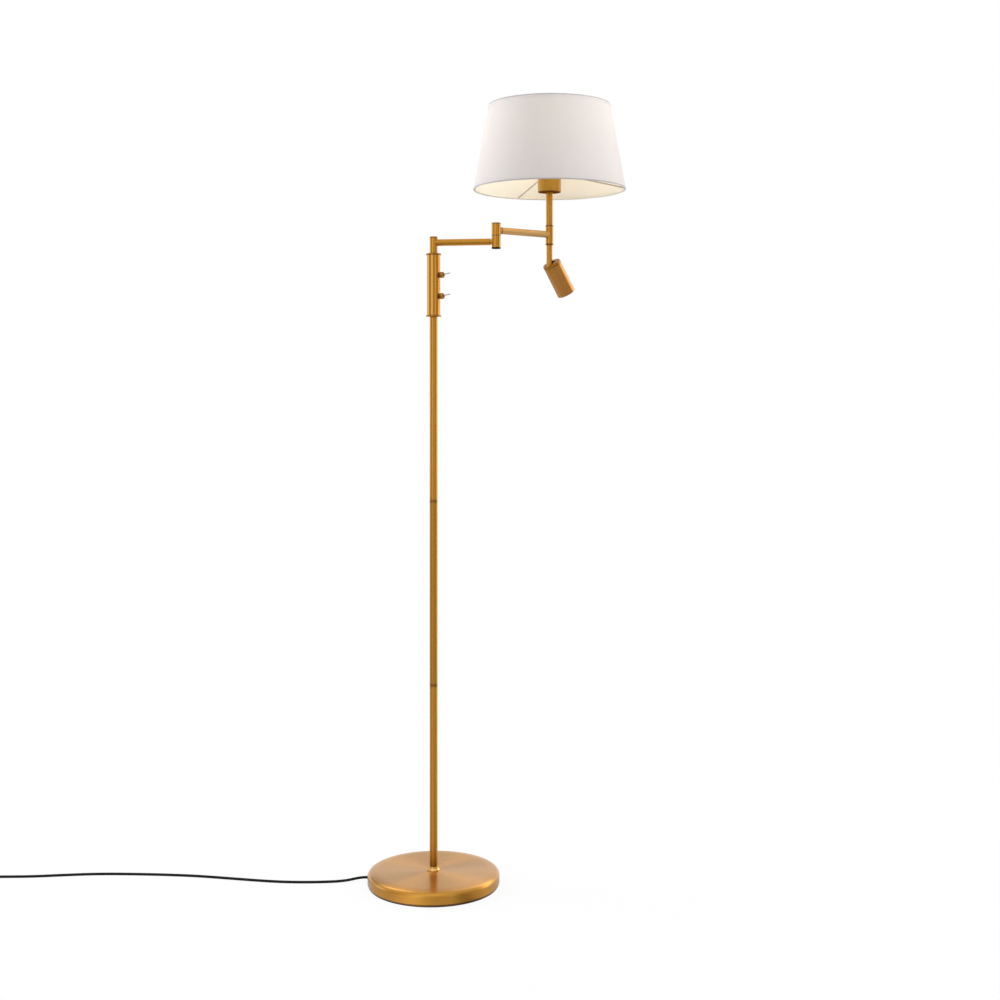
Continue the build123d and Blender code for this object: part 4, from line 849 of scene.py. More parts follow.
class LAMP_OT_cord(bpy.types.Operator):
    """Lays the mains cord on the floor and winds the put-away length into a tied coil"""

    bl_idname = "lamp.cord"
    bl_label = "Cord"

    # The route's numbers, in millimetres, degrees and turns, as in the part's source
    exit_azimuth, exit_reach, exit_height = 174.5, 128.0, 9.4
    floor_route = (
        (-169.0, 12.6), (-204.0, 6.4), (-252.0, 4.6), (-295.0, 7.3), (-337.0, 14.6), (-394.0, 26.8),
        (-455.0, 39.8), (-516.0, 46.9), (-584.0, 51.2), (-652.0, 52.3), (-714.0, 45.6), (-776.0, 36.7),
    )
    centre, start_angle = (-880.0, -8.0), 95.5
    inner, pitch, turns_in, turns_out, rounding = 20.2, 5.75, 3.0, 3.25, 0.15
    points_a_turn, climb, step = 16, 0.5, 0.002
    straight_out, straight_in, entry_drop, straight_end = 11.0, (45.0, 20.0, 5.0), 0.6, (5.0, 3.0)
    cord_radius, clear, strap, strap_width = 2.5, 0.35, 0.8, 4.0
    low = cord_radius + clear + strap
    tie_turn = 0.667

    # Plug: distance from its start, half width, half thickness and level
    stations = np.array([
        (0.0, 3.1, 3.1, 9.4), (1.0, 3.4, 3.4, 9.4), (6.0, 3.7, 3.7, 9.3), (12.0, 4.0, 4.0, 9.1),
        (18.0, 4.3, 4.3, 8.8), (22.0, 4.8, 5.0, 8.3), (24.5, 6.0, 6.2, 7.8), (28.0, 8.6, 7.0, 7.6),
        (34.0, 12.6, 7.4, 7.5), (40.0, 16.0, 7.5, 7.5), (44.5, 17.3, 7.5, 7.5), (52.0, 17.5, 7.5, 7.5),
        (57.0, 17.5, 7.5, 7.5), (59.2, 17.2, 7.2, 7.5), (60.0, 16.2, 6.2, 7.5),
    ])
    neck_end, plug_end, plug_level, pin_aside = 22, 60, 7.5, 9.3
    groove_start, groove_end, groove_depth, grooves = 2, 20, 0.45, 5
    square_over, squareness = 14, 0.62

    def coil_points(self, turn):
        """Spiral r = inner + pitch (sqrt(t^2 + k^2) - k), t counted from the turning point, with a smooth
        climb of one layer in the half turn where the spiral turns back."""
        along = turn - self.turns_in
        radius = self.inner + self.pitch * (np.sqrt(along**2 + self.rounding**2) - self.rounding)
        share = np.clip(along / self.climb + 0.5, 0, 1)
        round_it = np.radians(self.start_angle + 360 * turn)
        height = self.low + self.pitch * share**2 * (3 - 2 * share)
        return np.stack([
            self.centre[0] + radius * np.cos(round_it), self.centre[1] + radius * np.sin(round_it), height
        ], 1)

    def coil_heading(self, turn):
        """Direction of the coil at a turn, from two points close to it."""
        ends = self.coil_points(np.array([turn - self.step, turn + self.step]))
        return unit(ends[1] - ends[0])

    def route(self):
        """Control points of the cord in millimetres: the floor route, then sixteen points a turn."""
        out = heading(self.exit_azimuth)
        start = out * self.exit_reach + UP * self.exit_height
        turns = self.turns_in + self.turns_out
        entry_way, last_way = self.coil_heading(0.0), self.coil_heading(turns)
        far, mid, close = (entry_way * reach for reach in self.straight_in)
        entry = self.coil_points(np.array([0.0]))[0] - close
        drop = UP * (self.low - self.cord_radius) * self.entry_drop
        floor = [
            start, start + out * self.straight_out, *((x, y, self.cord_radius) for x, y in self.floor_route),
            entry - far - drop, entry - mid, entry,
        ]
        wound = self.coil_points(np.linspace(0.0, turns, int(self.points_a_turn * turns) + 1))
        end = wound[-1] + last_way * self.straight_end[0]
        return np.vstack([floor, wound, [end, end + last_way * self.straight_end[1]]]), start

    def execute(self, context):
        points, start = self.route()
        curve = bpy.data.curves.new("mains_cord", "CURVE")
        curve.dimensions = "3D"
        spline = curve.splines.new("NURBS")
        spline.points.add(len(points) - 1)
        spline.points.foreach_set("co", np.hstack([points * MM, np.ones((len(points), 1))]).ravel())
        spline.order_u, spline.use_endpoint_u, spline.resolution_u = 3, True, 8
        curve.bevel_depth, curve.bevel_resolution, curve.use_fill_caps = sizes().cord / 2, 6, True
        curve.materials.append(FINISH["cord"])
        cord = bpy.data.objects.new("mains_cord", curve)
        context.scene.collection.objects.link(cord)
        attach(cord, "stand")
        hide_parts("cord_run", "cord_coil")
        plug = self.plug(points[-2], self.coil_heading(self.turns_in + self.turns_out))
        tie = self.tie()
        self.bushing()
        return {"FINISHED"}

    def bushing(self):
        """Rubber bushing at the exit: a flange inside the cover, a neck and a short rounded lip."""
        corners = [
            (1.85, 121.6), (5.0, 121.6, 0.4), (5.0, 123.6, 0.4), (3.4, 123.6, 0.2), (3.4, 126.2, 0.5),
            (3.0, 128.0, 0.5), (1.85, 128.0, 0.1),
        ]
        grid = turned(in_mm(corners), UP * self.exit_height * MM, heading(self.exit_azimuth), 48)
        make_piece("exit_bushing", [grid], FINISH["cord"], "stand", "cord", "cord_grommet")

    def tie(self):
        """Flat strap: a rounded loop round the bundle, |x/a|^5 + |z/b|^5 = 1, with a thin section."""
        out = heading(self.start_angle + 360 * self.tie_turn)
        low, high = heights("cord_tie")
        inside, outside = self.tie_reach()
        half = self.strap / 2
        t = np.linspace(0, 2 * pi, 72, endpoint=False)
        x, z = rounded(t, 2 / 5)
        x, z = x * ((outside - inside) / 2 + half) * MM, z * ((high - low) / 2 - half * MM)
        path = middle("cord_tie") + x[:, None] * out + z[:, None] * UP
        way = unit_rows(np.roll(path, -1, 0) - np.roll(path, 1, 0))
        side = np.repeat(np.cross(UP, out)[None], len(t), 0)
        edge = self.strap_width / 2
        hold = edge - 0.1
        strip = np.array([
            (-edge, -half), (-hold, -half), (hold, -half), (edge, -half),
            (edge, half), (hold, half), (-hold, half), (-edge, half),
        ]) * MM
        loop = swept(path, (side, np.cross(way, side)), np.repeat(strip[None], len(t), 0), (True, True))
        return make_piece("cord_strap", [loop], FINISH["plastic"], "stand", "black_plastic", "cord_tie")

    def tie_reach(self):
        """Radii between which the strap holds the bundle: the innermost and the outermost turn under it."""
        turns = self.turns_in - 1 + self.tie_turn, self.turns_in + self.turns_out - 1.25 + self.tie_turn
        first, last = (
            np.hypot(*(self.coil_points(np.array([turn]))[0][:2] - self.centre)) for turn in turns
        )
        return first - self.cord_radius - self.clear, last + self.cord_radius + self.clear

    def plug(self, start, way):
        """Flat two-pin plug: a rounded section |x/a|^(2/p) + |z/b|^(2/p) = 1 whose half width a, half
        thickness b and level change along the plug, with grip grooves round its neck, and two turned pins
        with a sleeve."""
        foot = start * MM * PLAN
        side = np.cross(UP, way)
        neck, flat = np.linspace(0, self.neck_end, 56), np.linspace(self.neck_end, self.plug_end, 60)
        s = np.concatenate([neck, flat[1:]])
        half_x, half_z, level = (np.interp(s, self.stations[:, 0], self.stations[:, k]) for k in (1, 2, 3))
        share = (s - self.groove_start) / (self.groove_end - self.groove_start)
        wave = self.groove_depth * (0.5 - 0.5 * np.cos(share * 2 * pi * self.grooves))
        groove = np.where((s > self.groove_start) & (s < self.groove_end), wave, 0.0)
        square = np.clip((s - self.groove_end) / self.square_over, 0, 1)
        t = np.linspace(0, 2 * pi, 64, endpoint=False)
        x, z = rounded(t, (1 - self.squareness * square)[:, None])
        section = np.stack([(half_x - groove)[:, None] * x, (half_z - groove)[:, None] * z], 2) * MM
        path = foot[None] + s[:, None] * MM * way * PLAN + level[:, None] * MM * UP
        ones = np.ones((len(s), 1))
        body = capped(swept(path, (side * ones, UP * ones), section))
        face = foot + way * self.plug_end * MM + UP * self.plug_level * MM
        roots = [face + side * shift * MM for shift in (-self.pin_aside, self.pin_aside)]
        sleeve = in_mm([(0, 0), (2, 0, 0.1), (2, 10, 0.2), (0, 10)])
        bare = in_mm([(0, 9.9), (1.95, 9.9), (1.95, 19, 1.1), (0, 19)])
        pins = [turned(sleeve, root, way, 32) for root in roots]
        pins += [turned(bare, root, way, 32, 1) for root in roots]
        plastic = FINISH["plastic"]
        return [
            make_piece("plug_moulding", [body], plastic, "stand", "black_plastic", "plug_body"),
            make_piece("plug_contacts", pins, [plastic, FINISH["chrome"]], "stand", "chrome", "plug_pins"),
        ]


def tube_corners(outer, inner, low, high, edge):
    """Outline of a plain tube with softened outer edges, in metres."""
    return [(outer, low, edge), (outer, high, edge), (inner, high, SHARP), (inner, low, SHARP)]


class LAMP_OT_base(bpy.types.Operator):
    """Spun base cover with its dark pad, and the polished collar at the pole's foot"""

    bl_idname = "lamp.base"
    bl_label = "Base"

    def roll(self, radius, high, flat, edge, slope):
        """The cover's rim from its side to its flat middle: an edge arc r = R - e (1 - sin t), t from 90
        degrees to the slope, then a wide arc r = flat + W sin t that levels out at the flat."""
        wide = (radius - edge * (1 - sin(slope)) - flat) / sin(slope)
        t = np.linspace(pi / 2, slope, 16)
        drop = wide * (1 - cos(slope))
        rim = np.stack([radius - edge * (1 - np.sin(t)), high - drop - edge * (cos(slope) - np.cos(t))], 1)
        t = np.linspace(slope, 0, 12)[1:]
        crown = np.stack([flat + wide * np.sin(t), high - wide * (1 - np.cos(t))], 1)
        return [tuple(point) for point in np.vstack([rim, crown])]

    def cover(self):
        """Cover with its lower edge rolled in, painted dark with patina colour as shade where it is rolled.
        """
        s = sizes()
        radius, wall, flat = across("base_cover") / 2, s.cover_wall, s.base_flat / 2
        low, high = heights("base_cover")
        roll_in, roll_up, roll_round = 2.2 * MM, 2.8 * MM, 2.4 * MM
        corners = [
            (radius - roll_in, low, 0.3 * MM), (radius, low + roll_up, roll_round),
            *self.roll(radius, high, flat, s.base_edge, s.base_slope),
            (STUD_BORE, high, SHARP), (STUD_BORE, high - wall, SHARP),
            *self.roll(radius - wall, high - wall, flat, s.base_edge - wall, s.base_slope)[::-1],
            (radius - wall, low, SHARP),
        ]

        # painted shade: the rolled lower edge takes full patina colour
        def rolled(r, h):
            return (h < low + 3 * MM) * (r > radius - 3 * MM)

        grid = turned(corners, segments=256, steps=8, tone=rolled)
        make_piece("base_dish", [grid], FINISH["base"], "stand", "brushed_brass", "base_cover")

    def execute(self, context):
        self.cover()
        inset = 1.6 * MM
        radius = across("base_pad") / 2 - inset
        low, high = heights("base_pad")
        pad = turned([(0, low), (radius, low, 0.4 * MM), (radius, high, 0.3 * MM), (0, high)], segments=160)
        make_piece("base_foot_pad", [pad], FINISH["pad"], "stand", "pad", "base_pad")
        low, high = heights("pole_collar")
        rim, bore, floor = across("pole_collar") / 2, sizes().pole / 2 + 0.05 * MM, low + 2 * MM
        flare = [
            (rim, low, 0.3 * MM), (rim, low + 2.2 * MM, 1.0 * MM),
            (rim - 2.57 * MM, low + 5.0 * MM, 1.0 * MM), (rim - 2.9 * MM, high, 0.5 * MM),
            (bore, high, 0.3 * MM), (bore, floor, SHARP),
            (STUD_BORE, floor, SHARP), (STUD_BORE, low, SHARP),
        ]
        collar = turned(flare, segments=128, steps=8)
        make_piece("foot_collar", [collar], FINISH["polished"], "stand", "polished_brass", "pole_collar")
        dress(FINISH["iron"], "base_weight")
        dress(FINISH["steel"], "base_stud", "base_nut")
        return {"FINISHED"}


class LAMP_OT_pole(bpy.types.Operator):
    """Three pole tubes whose chamfered ends show as thin rings"""

    bl_idname = "lamp.pole"
    bl_label = "Pole"

    # Rows near each end of a tube, in millimetres, for the patina; its share at joints, foot and middle tube
    bands = (2.0, 3.5, 5.0, 8.0, 14.0, 24.0, 40.0)
    joint_patina, foot_patina, middle_patina = 0.6, 0.85, 0.16
    joint_width, foot_width = 3.5 * MM, 26 * MM

    def execute(self, context):
        radius, wall = sizes().pole / 2, sizes().pole_wall
        for node in ("pole_lower", "pole_middle", "pole_upper"):
            low, high = heights(node)
            corners = tube_corners(radius, radius - wall, low, high, 0.45 * MM)
            levels = [low + x * MM for x in self.bands] + [high - x * MM for x in self.bands[::-1]]
            corners[1:1] = [(radius, level) for level in levels]
            foot = self.foot_patina if node == "pole_lower" else 0.0
            aged = self.middle_patina if node == "pole_middle" else 0.0
            joints = [level for level in (low, high) if 0.1 < level < 1.0]

            def worn(r, h):
                rings = sum(self.joint_patina * near(h, level, self.joint_width) for level in joints)
                return np.clip(aged + rings + foot * near(h, low, self.foot_width), 0, 1)

            grid = turned(corners, tone=worn, offset=low)
            make_piece(f"{node}_tube", [grid], FINISH["brass"], "stand", "brushed_brass", node)
        dress(FINISH["bare"], "pole_joint_lower", "pole_joint_upper")
        dress(FINISH["cord"], "pole_lead")
        return {"FINISHED"}


class LAMP_OT_switch_housing(bpy.types.Operator):
    """Switch housing between its flanged collars, with domed toggle nuts and bright levers"""

    bl_idname = "lamp.switch_housing"
    bl_label = "Switch housing"

    # Outlines in millimetres: the nut's from the pole's axis, the lever's from its pivot
    nut = (
        (0, 10.3), (4.7, 10.3, 0.2), (4.7, 15.2, 0.3), (5.7, 15.2, 2.6), (5.7, 21.6, 2.9), (2.9, 21.6, 0.3),
        (2.35, 15.6, 0.2), (2.35, 13.25, 0.1), (0, 13.25),
    )
    lever = (
        (0, -2.3), (1.4, -1.85, 0.4), (2.25, -0.6, 0.5), (2.25, 0.6, 0.5), (1.15, 2.0, 0.4), (1.1, 3.0, 0.2),
        (1.4, 19.2, 1.0), (1.2, 20.1, 0.5), (0, 20.3),
    )
    neck_end, face_start = 16.2 * MM, 20.8 * MM
    wall, fit = 1.2 * MM, 0.02 * MM
    flange_thick, flange_round, plug_depth = 3 * MM, 0.8 * MM, 8 * MM

    def toggles(self):
        """Nut and lever of each switch, turned about their own lines; the nut's neck is painted dark with
        patina colour as shade, and its face a little darker.
        """
        s = sizes()
        way = heading(degrees(s.toggle_azimuth))
        lever_way = way * cos(s.toggle_lift) + UP * sin(s.toggle_lift)

        # painted shade: full patina on the neck between housing and nut, a little on the face
        def dark_neck(r, h):
            return 1.0 * (h < self.neck_end) + 0.12 * (h > self.face_start)

        for name in ("lower", "upper"):
            pivot = np.array(JOINTS[f"{name}_toggle"]["pos_m"])
            nut = turned(in_mm(self.nut), pivot * UP, way, 64, steps=8, tone=dark_neck)
            make_piece(
                f"toggle_nut_{name}", [nut], FINISH["brass"], "stand", "polished_brass",
                f"toggle_bushing_{name}",
            )
            lever = turned(in_mm(self.lever), pivot, lever_way, 40)
            make_piece(
                f"toggle_bat_{name}", [lever], FINISH["chrome"], f"{name}_switch_lever", "chrome",
                f"toggle_lever_{name}",
            )
            dress(FINISH["plastic"], f"switch_body_{name}")

    def execute(self, context):
        radius = across("switch_housing") / 2
        low, high = heights("switch_housing")
        grid = turned(
            tube_corners(radius, radius - self.wall, low, high, 0.2 * MM), segments=128, offset=low
        )
        make_piece("housing_tube", [grid], FINISH["glossy"], "stand", "brushed_brass", "switch_housing")
        flange, inner = across("housing_lower_collar") / 2, radius - self.wall - self.fit
        foot, top = heights("housing_lower_collar")[0], heights("housing_upper_collar")[1]
        bottom, bore, spigot_radius = low - self.flange_thick, 4 * MM, 6.48 * MM
        lower = [
            (bore, foot), (spigot_radius, foot, 0.3 * MM), (spigot_radius, bottom, SHARP),
            (flange, bottom, self.flange_round), (flange, low, self.flange_round), (inner, low, SHARP),
            (inner, low + self.plug_depth, 0.3 * MM), (bore, low + self.plug_depth, SHARP),
        ]
        upper = [
            (TUBE_BORE, high - self.plug_depth), (inner, high - self.plug_depth, 0.3 * MM),
            (inner, high, SHARP), (flange, high, self.flange_round), (flange, top, self.flange_round),
            (TUBE_BORE, top, SHARP),
        ]

        def dark_rim(r, h):
            return 0.3 * (r > radius + 0.4 * MM)

        for name, corners, node in (
            ("housing_foot_ring", lower, "housing_lower_collar"),
            ("housing_head_ring", upper, "housing_upper_collar"),
        ):
            ring = turned(corners, segments=128, tone=dark_rim)
            make_piece(name, [ring], FINISH["brass"], "stand", "brushed_brass", node)
        self.toggles()
        dress(FINISH["steel"], "swivel_spindle")
        dress(FINISH["washer"], "swivel_washer")
        return {"FINISHED"}


def spigot(axis_point, way, level, start, end, material=0):
    """Hollow side spigot of a knuckle, turned about the arm's line."""
    radius, bore = 5.38 * MM, 3.5 * MM
    origin = axis_point * PLAN + UP * level
    return turned(tube_corners(radius, bore, start, end, 0.3 * MM), origin, way, 48, material)


def arm_tube(axis_point, way, level, radius, start_body, end_flat, shaded=0.0):
    """Arm tube along its own line x: one end is coped to an upright cylinder of radius R,
    x = sqrt(R^2 - (rho cos u)^2), the other is cut square at end_flat. rho is the tube's radius at each row.
    shaded is the share of patina colour painted along its top and bottom as shade."""
    u = np.linspace(0, 2 * pi, 96, endpoint=False)
    across_way = np.cross(UP, way)
    inner, soft, lip = radius - ARM_WALL, 0.3 * MM, 0.6 * MM
    steep_from, steep_over = 0.72, 0.24  # height, as a share of the radius, where the painted shade starts, and its rise
    rho = np.array([radius, radius, radius, radius, radius - soft, inner, inner])
    cope = [np.sqrt(start_body**2 - (r * np.cos(u)) ** 2) for r in (radius, inner)]
    square = np.full_like(u, end_flat)
    rows = np.stack([cope[0], cope[0] + lip, square - 3 * soft, square - soft, square, square, cope[1]])
    points = (
        axis_point * PLAN + UP * level + rows[..., None] * way
        + (rho[:, None] * np.cos(u))[..., None] * across_way + (rho[:, None] * np.sin(u))[..., None] * UP
    )
    edge = np.zeros(rows.shape)
    edge[3:5] = 1.0
    # painted shade: patina colour on the steep top and bottom of the tube
    steep = np.clip((np.abs(np.sin(u)) - steep_from) / steep_over, 0, 1)
    tone = shaded * steep[None]
    return {"points": points, "edge": edge, "closed": (True, True), "material": 0, "tone": tone}


class LAMP_OT_swing_arm(bpy.types.Operator):
    """Post, both arm tubes, the stacked elbow and the hub"""

    bl_idname = "lamp.swing_arm"
    bl_label = "Swing arm"

    # Inside radius of post and elbow halves, their spigots' starts, and the elbow's bores for its pin
    post_inside, elbow_inside, spigot_gap = 6.5 * MM, 6.0 * MM, 0.1 * MM
    pin_fixed, pin_free = 4.5 * MM, 4.55 * MM
    bead, hub_radius, hub_inside = 7.8 * MM, 7.3 * MM, 6.3 * MM
    lid_thick, lid_round, lid_patina = 2.5 * MM, 0.7 * MM, 0.55

    def knuckle(self, place, radius, bore, inside, floor, rim):
        """Turned cup: a floor with a bore, open at the rim, which lies above or below the floor."""
        up = rim > floor
        ledge = floor + (KNUCKLE_FLOOR if up else -KNUCKLE_FLOOR)
        corners = [
            (bore, floor), (radius, floor, sizes().metal_edge), (radius, rim, SEAT), (inside, rim),
            (inside, ledge), (bore, ledge),
        ]
        return turned(corners if up else corners[::-1], place * PLAN)

    def lid(self, name, place, radius, node, body, finish, slot="brushed_brass", up=True):
        """Turned lid or plug: a softened disc with a spigot, which points down under a lid."""
        low, high = heights(node)
        fit = 0.1 * MM
        inner = (self.post_inside if node == "post_cap" else self.elbow_inside) - fit
        face, root = (high, low) if up else (low, high)
        seat = face - self.lid_thick if up else face + self.lid_thick
        corners = [
            (0, root), (inner, root, 0.2 * MM), (inner, seat), (radius, seat, SHARP),
            (radius, face, self.lid_round), (0, face),
        ]
        grid = turned(corners if up else corners[::-1], place * PLAN, tone=self.lid_patina)
        make_piece(name, [grid], finish, body, slot, node)

    def lower_arm(self, level, post, knuckle):
        """Post, lower arm tube and the elbow's lower half."""
        brass, s = FINISH["brass"], sizes()
        low, high = heights("swivel_post")
        body = self.knuckle(SWIVEL, post, STUD_BORE, self.post_inside, low, high)
        side = spigot(SWIVEL, LOWER_ARM, level, self.post_inside + self.spigot_gap, post + SPIGOT_REACH)
        make_piece("turning_post", [body, side], brass, "lower_arm", "brushed_brass", "swivel_post")
        self.lid("post_lid", SWIVEL, post, "post_cap", "lower_arm", brass)
        end = np.linalg.norm((ELBOW - SWIVEL)[:2]) - knuckle - s.arm_neck
        arm = arm_tube(SWIVEL, LOWER_ARM, level, s.arm / 2, post + COPE_GAP, end)
        make_piece("lower_arm_rod", [arm], FINISH["arm"], "lower_arm", "brushed_brass", "lower_arm_tube")
        low, high = heights("elbow_lower_knuckle")
        body = self.knuckle(ELBOW, knuckle, self.pin_fixed, self.elbow_inside, high, low)
        side = spigot(ELBOW, -LOWER_ARM, level, self.elbow_inside + self.spigot_gap, knuckle + SPIGOT_REACH)
        make_piece("elbow_foot", [body, side], brass, "lower_arm", "brushed_brass", "elbow_lower_knuckle")

    def hub(self, level):
        """Hub with a bead at each end, dark at the beads, and its spigot."""
        low, high = heights("hub")
        bead, radius, inside = self.bead, self.hub_radius, self.hub_inside
        bead_high, neck, stem_depth, clip_depth = 2 * MM, 2.3 * MM, 9 * MM, 10 * MM
        corners = [
            (self.pin_free, low), (bead, low, 0.7 * MM), (bead, low + bead_high, 0.7 * MM),
            (radius, low + neck, 0.2 * MM), (radius, high - neck, 0.2 * MM),
            (bead, high - bead_high, 0.7 * MM), (bead, high, 0.7 * MM), (TUBE_BORE, high),
            (TUBE_BORE, high - stem_depth), (inside, high - stem_depth), (inside, low + clip_depth),
            (self.pin_free, low + clip_depth),
        ]

        def dark_beads(r, h):
            return 0.1 + 0.6 * ((h < low + 2.6 * MM) | (h > high - 2.6 * MM))

        body = turned(corners, HUB * PLAN, tone=dark_beads)
        side = spigot(HUB, -UPPER_ARM, level, self.elbow_inside + self.spigot_gap, radius + SPIGOT_REACH)
        make_piece("arm_hub", [body, side], FINISH["brass"], "upper_arm", "brushed_brass", "hub")

    def execute(self, context):
        brass, s = FINISH["brass"], sizes()
        lower_level, upper_level = middle("lower_arm_tube")[2], middle("upper_arm_tube")[2]
        post, knuckle = across("post_cap") / 2, across("elbow_top_cap") / 2
        self.lower_arm(lower_level, post, knuckle)
        low, high = heights("elbow_upper_knuckle")
        body = self.knuckle(ELBOW, knuckle, self.pin_free, self.elbow_inside, low, high)
        start, reach = self.elbow_inside + self.spigot_gap, knuckle + SPIGOT_REACH
        # painted light: the upper spigot takes the paler brass, material 1, so the shaded gap by the elbow
        # looks bright
        side = spigot(ELBOW, UPPER_ARM, upper_level, start, reach, 1)
        pair = [brass, FINISH["upper_arm"]]
        make_piece("elbow_head", [body, side], pair, "upper_arm", "brushed_brass", "elbow_upper_knuckle")
        self.lid("elbow_lid", ELBOW, knuckle, "elbow_top_cap", "upper_arm", brass)
        self.lid(
            "elbow_plug", ELBOW, knuckle, "elbow_bottom_plug", "lower_arm", FINISH["plug"], "black_plastic",
            up=False,
        )
        self.hub(upper_level)
        end = np.linalg.norm((HUB - ELBOW)[:2]) - knuckle - s.arm_neck
        # the upper arm's top and bottom take painted shade at 0.7 of the patina colour
        arm = arm_tube(HUB, -UPPER_ARM, upper_level, s.arm / 2, self.hub_radius + COPE_GAP, end, 0.7)
        # upper arm tube in the paler brass, painted light
        make_piece(
            "upper_arm_rod", [arm], FINISH["upper_arm"], "upper_arm", "brushed_brass", "upper_arm_tube"
        )
        dress(FINISH["washer"], "elbow_washer")
        dress(FINISH["steel"], "elbow_pin", "stem_clip")
        return {"FINISHED"}


class LAMP_OT_lamp_holder(bpy.types.Operator):
    """Stem, spun cup, white lamp holder with its ring, and the frosted bulb"""

    bl_idname = "lamp.lamp_holder"
    bl_label = "Lamp holder"

    stem, stem_end, stem_bore, stem_patina = 6.5 * MM, 5.0 * MM, 3.5 * MM, 0.14
    cup_wall, cup_corner = 1.0 * MM, 1.8 * MM
    skirt, skirt_pitch, skirt_depth = 19.5 * MM, 3 * MM, 0.35 * MM
    notches, notch_depth = 24, 0.45 * MM
    cap, cap_pitch, cap_depth = 13.1 * MM, 3.6 * MM, 0.5 * MM
    glow_power, glow_tint = 0.30, (1.0, 0.80, 0.50)

    def execute(self, context):
        place = HUB * PLAN
        foot = heights("hub")[1]
        cup_low, cup_high = heights("holder_cup")
        low, high = heights("upper_stem")
        stem = [
            (self.stem_bore, low), (self.stem_end, low, 0.3 * MM), (self.stem_end, foot, SHARP),
            (self.stem, foot, 0.2 * MM), (self.stem, cup_low, 0.2 * MM), (self.stem_end, cup_low, SHARP),
            (self.stem_end, high, 0.3 * MM), (self.stem_bore, high, SHARP),
        ]
        grid = turned(stem, place, tone=self.stem_patina, offset=low)
        make_piece("upper_stem_rod", [grid], FINISH["brass"], "upper_arm", "brushed_brass", "upper_stem")
        self.cup(place, cup_low, cup_high)
        self.holder(place, cup_high)
        self.bulb(place)
        return {"FINISHED"}

    def cup(self, place, low, high):
        """Spun cup, a shell of even wall; its downward faces take a dull dark brown as painted shade."""
        radius, wall = across("holder_cup") / 2, self.cup_wall
        corners = [
            (STUD_BORE, low), (radius, low, self.cup_corner), (radius, high, 0.3 * MM),
            (radius - wall, high, 0.2 * MM), (radius - wall, low + wall, 0.9 * MM),
            (STUD_BORE, low + wall, SHARP),
        ]
        grid = turned(corners, place, segments=128, steps=8)
        pair = [FINISH["cup"], FINISH["underside"]]
        mesh = make_piece("spun_cup", [grid], pair, "upper_arm", "brushed_brass", "holder_cup").data
        downward = face_values(mesh, "normal")[:, 2] < -0.8
        mesh.polygons.foreach_set("material_index", downward.astype(np.int32))

    def holder(self, place, cup_high):
        """Holder skirt with a shallow thread, r = r0 + a (cos(2 pi h / pitch - u) - 1), and a ring with grip
        notches."""
        low, high = heights("lamp_holder")
        seat, thread_start = cup_high + 2 * MM, cup_high + 11 * MM
        bore, floor, neck, brim = 13.5 * MM, high - 27.5 * MM, 19 * MM, 22.5 * MM

        def thread(u, h, r):
            on_skirt = (np.abs(r - self.skirt) < 0.3 * MM) & (h > thread_start) & (h < high - 1 * MM)
            return np.where(on_skirt, self.skirt_depth * (np.cos(2 * pi * h / self.skirt_pitch - u) - 1), 0.0)

        skirt = [(self.skirt, h) for h in np.linspace(thread_start, high - 1.2 * MM, 30)]
        corners = [
            (TUBE_BORE, low), (10 * MM, low), (neck, low + 8 * MM, 0.5 * MM), (neck, cup_high, SHARP),
            (brim, cup_high, 0.2 * MM), (brim, seat, 0.2 * MM), (self.skirt, seat), *skirt,
            (19.4 * MM, high, 0.6 * MM), (bore, high, 0.4 * MM), (bore, floor), (TUBE_BORE, floor),
        ]
        grid = turned(corners, place, segments=128, wave=thread)
        make_piece("holder_body", [grid], FINISH["holder"], "upper_arm", "holder_plastic", "lamp_holder")
        low, high = heights("shade_ring")
        outer, inner = across("shade_ring") / 2, 19.8 * MM

        def grip(u, h, r):
            notch = -self.notch_depth * (np.clip(np.cos(self.notches * u) * 3, -1, 1) + 1)
            return np.where(r > outer - 0.9 * MM, notch, 0.0)

        ring = [
            (outer, low, 0.5 * MM), (outer, high, 0.8 * MM), (inner, high, 0.3 * MM), (inner, low, 0.2 * MM)
        ]
        grid = turned(ring, place, segments=192, wave=grip)
        make_piece("clamp_ring", [grid], FINISH["holder"], "upper_arm", "holder_plastic", "shade_ring")

    def bulb(self, place):
        """Globe and neck: a sphere of the bulb's radius blended to the cap's radius by a smooth step in
        height; the cap carries a rolled thread, r = r0 + a (cos(2 pi h / pitch - u) - 1). A small light
        stands in for the glow inside."""
        low, high = heights("bulb_glass")
        radius, neck, waist = sizes().bulb / 2, self.cap, 0.4
        centre = high - radius
        dome = centre + radius * np.sin(np.linspace(asin(-waist), pi / 2, 60)[1:])
        h = np.concatenate([np.linspace(low, centre - waist * radius, 40), dome])
        share = np.clip((h - low) / (centre - low), 0, 1)
        blend = share**2 * (3 - 2 * share)
        ball = np.sqrt(np.maximum(radius**2 - (h - centre) ** 2, 0))
        r = np.where(h > centre - 0.05 * radius, ball, neck + (radius - neck) * blend**0.9)
        grid = turned([(0, low), *zip(r[:-1], h[:-1]), (0, high)], place)
        globe = make_piece("bulb_globe", [grid], FINISH["bulb"], "upper_arm", "bulb_glass", "bulb_glass")
        globe.visible_shadow = False
        low, high = heights("bulb_cap")

        def rolled(u, h, r):
            on = (r > 12.5 * MM) & (h > low + 8 * MM) & (h < high - 5 * MM)
            return np.where(on, self.cap_depth * (np.cos(2 * pi * h / self.cap_pitch - u) - 1), 0.0)

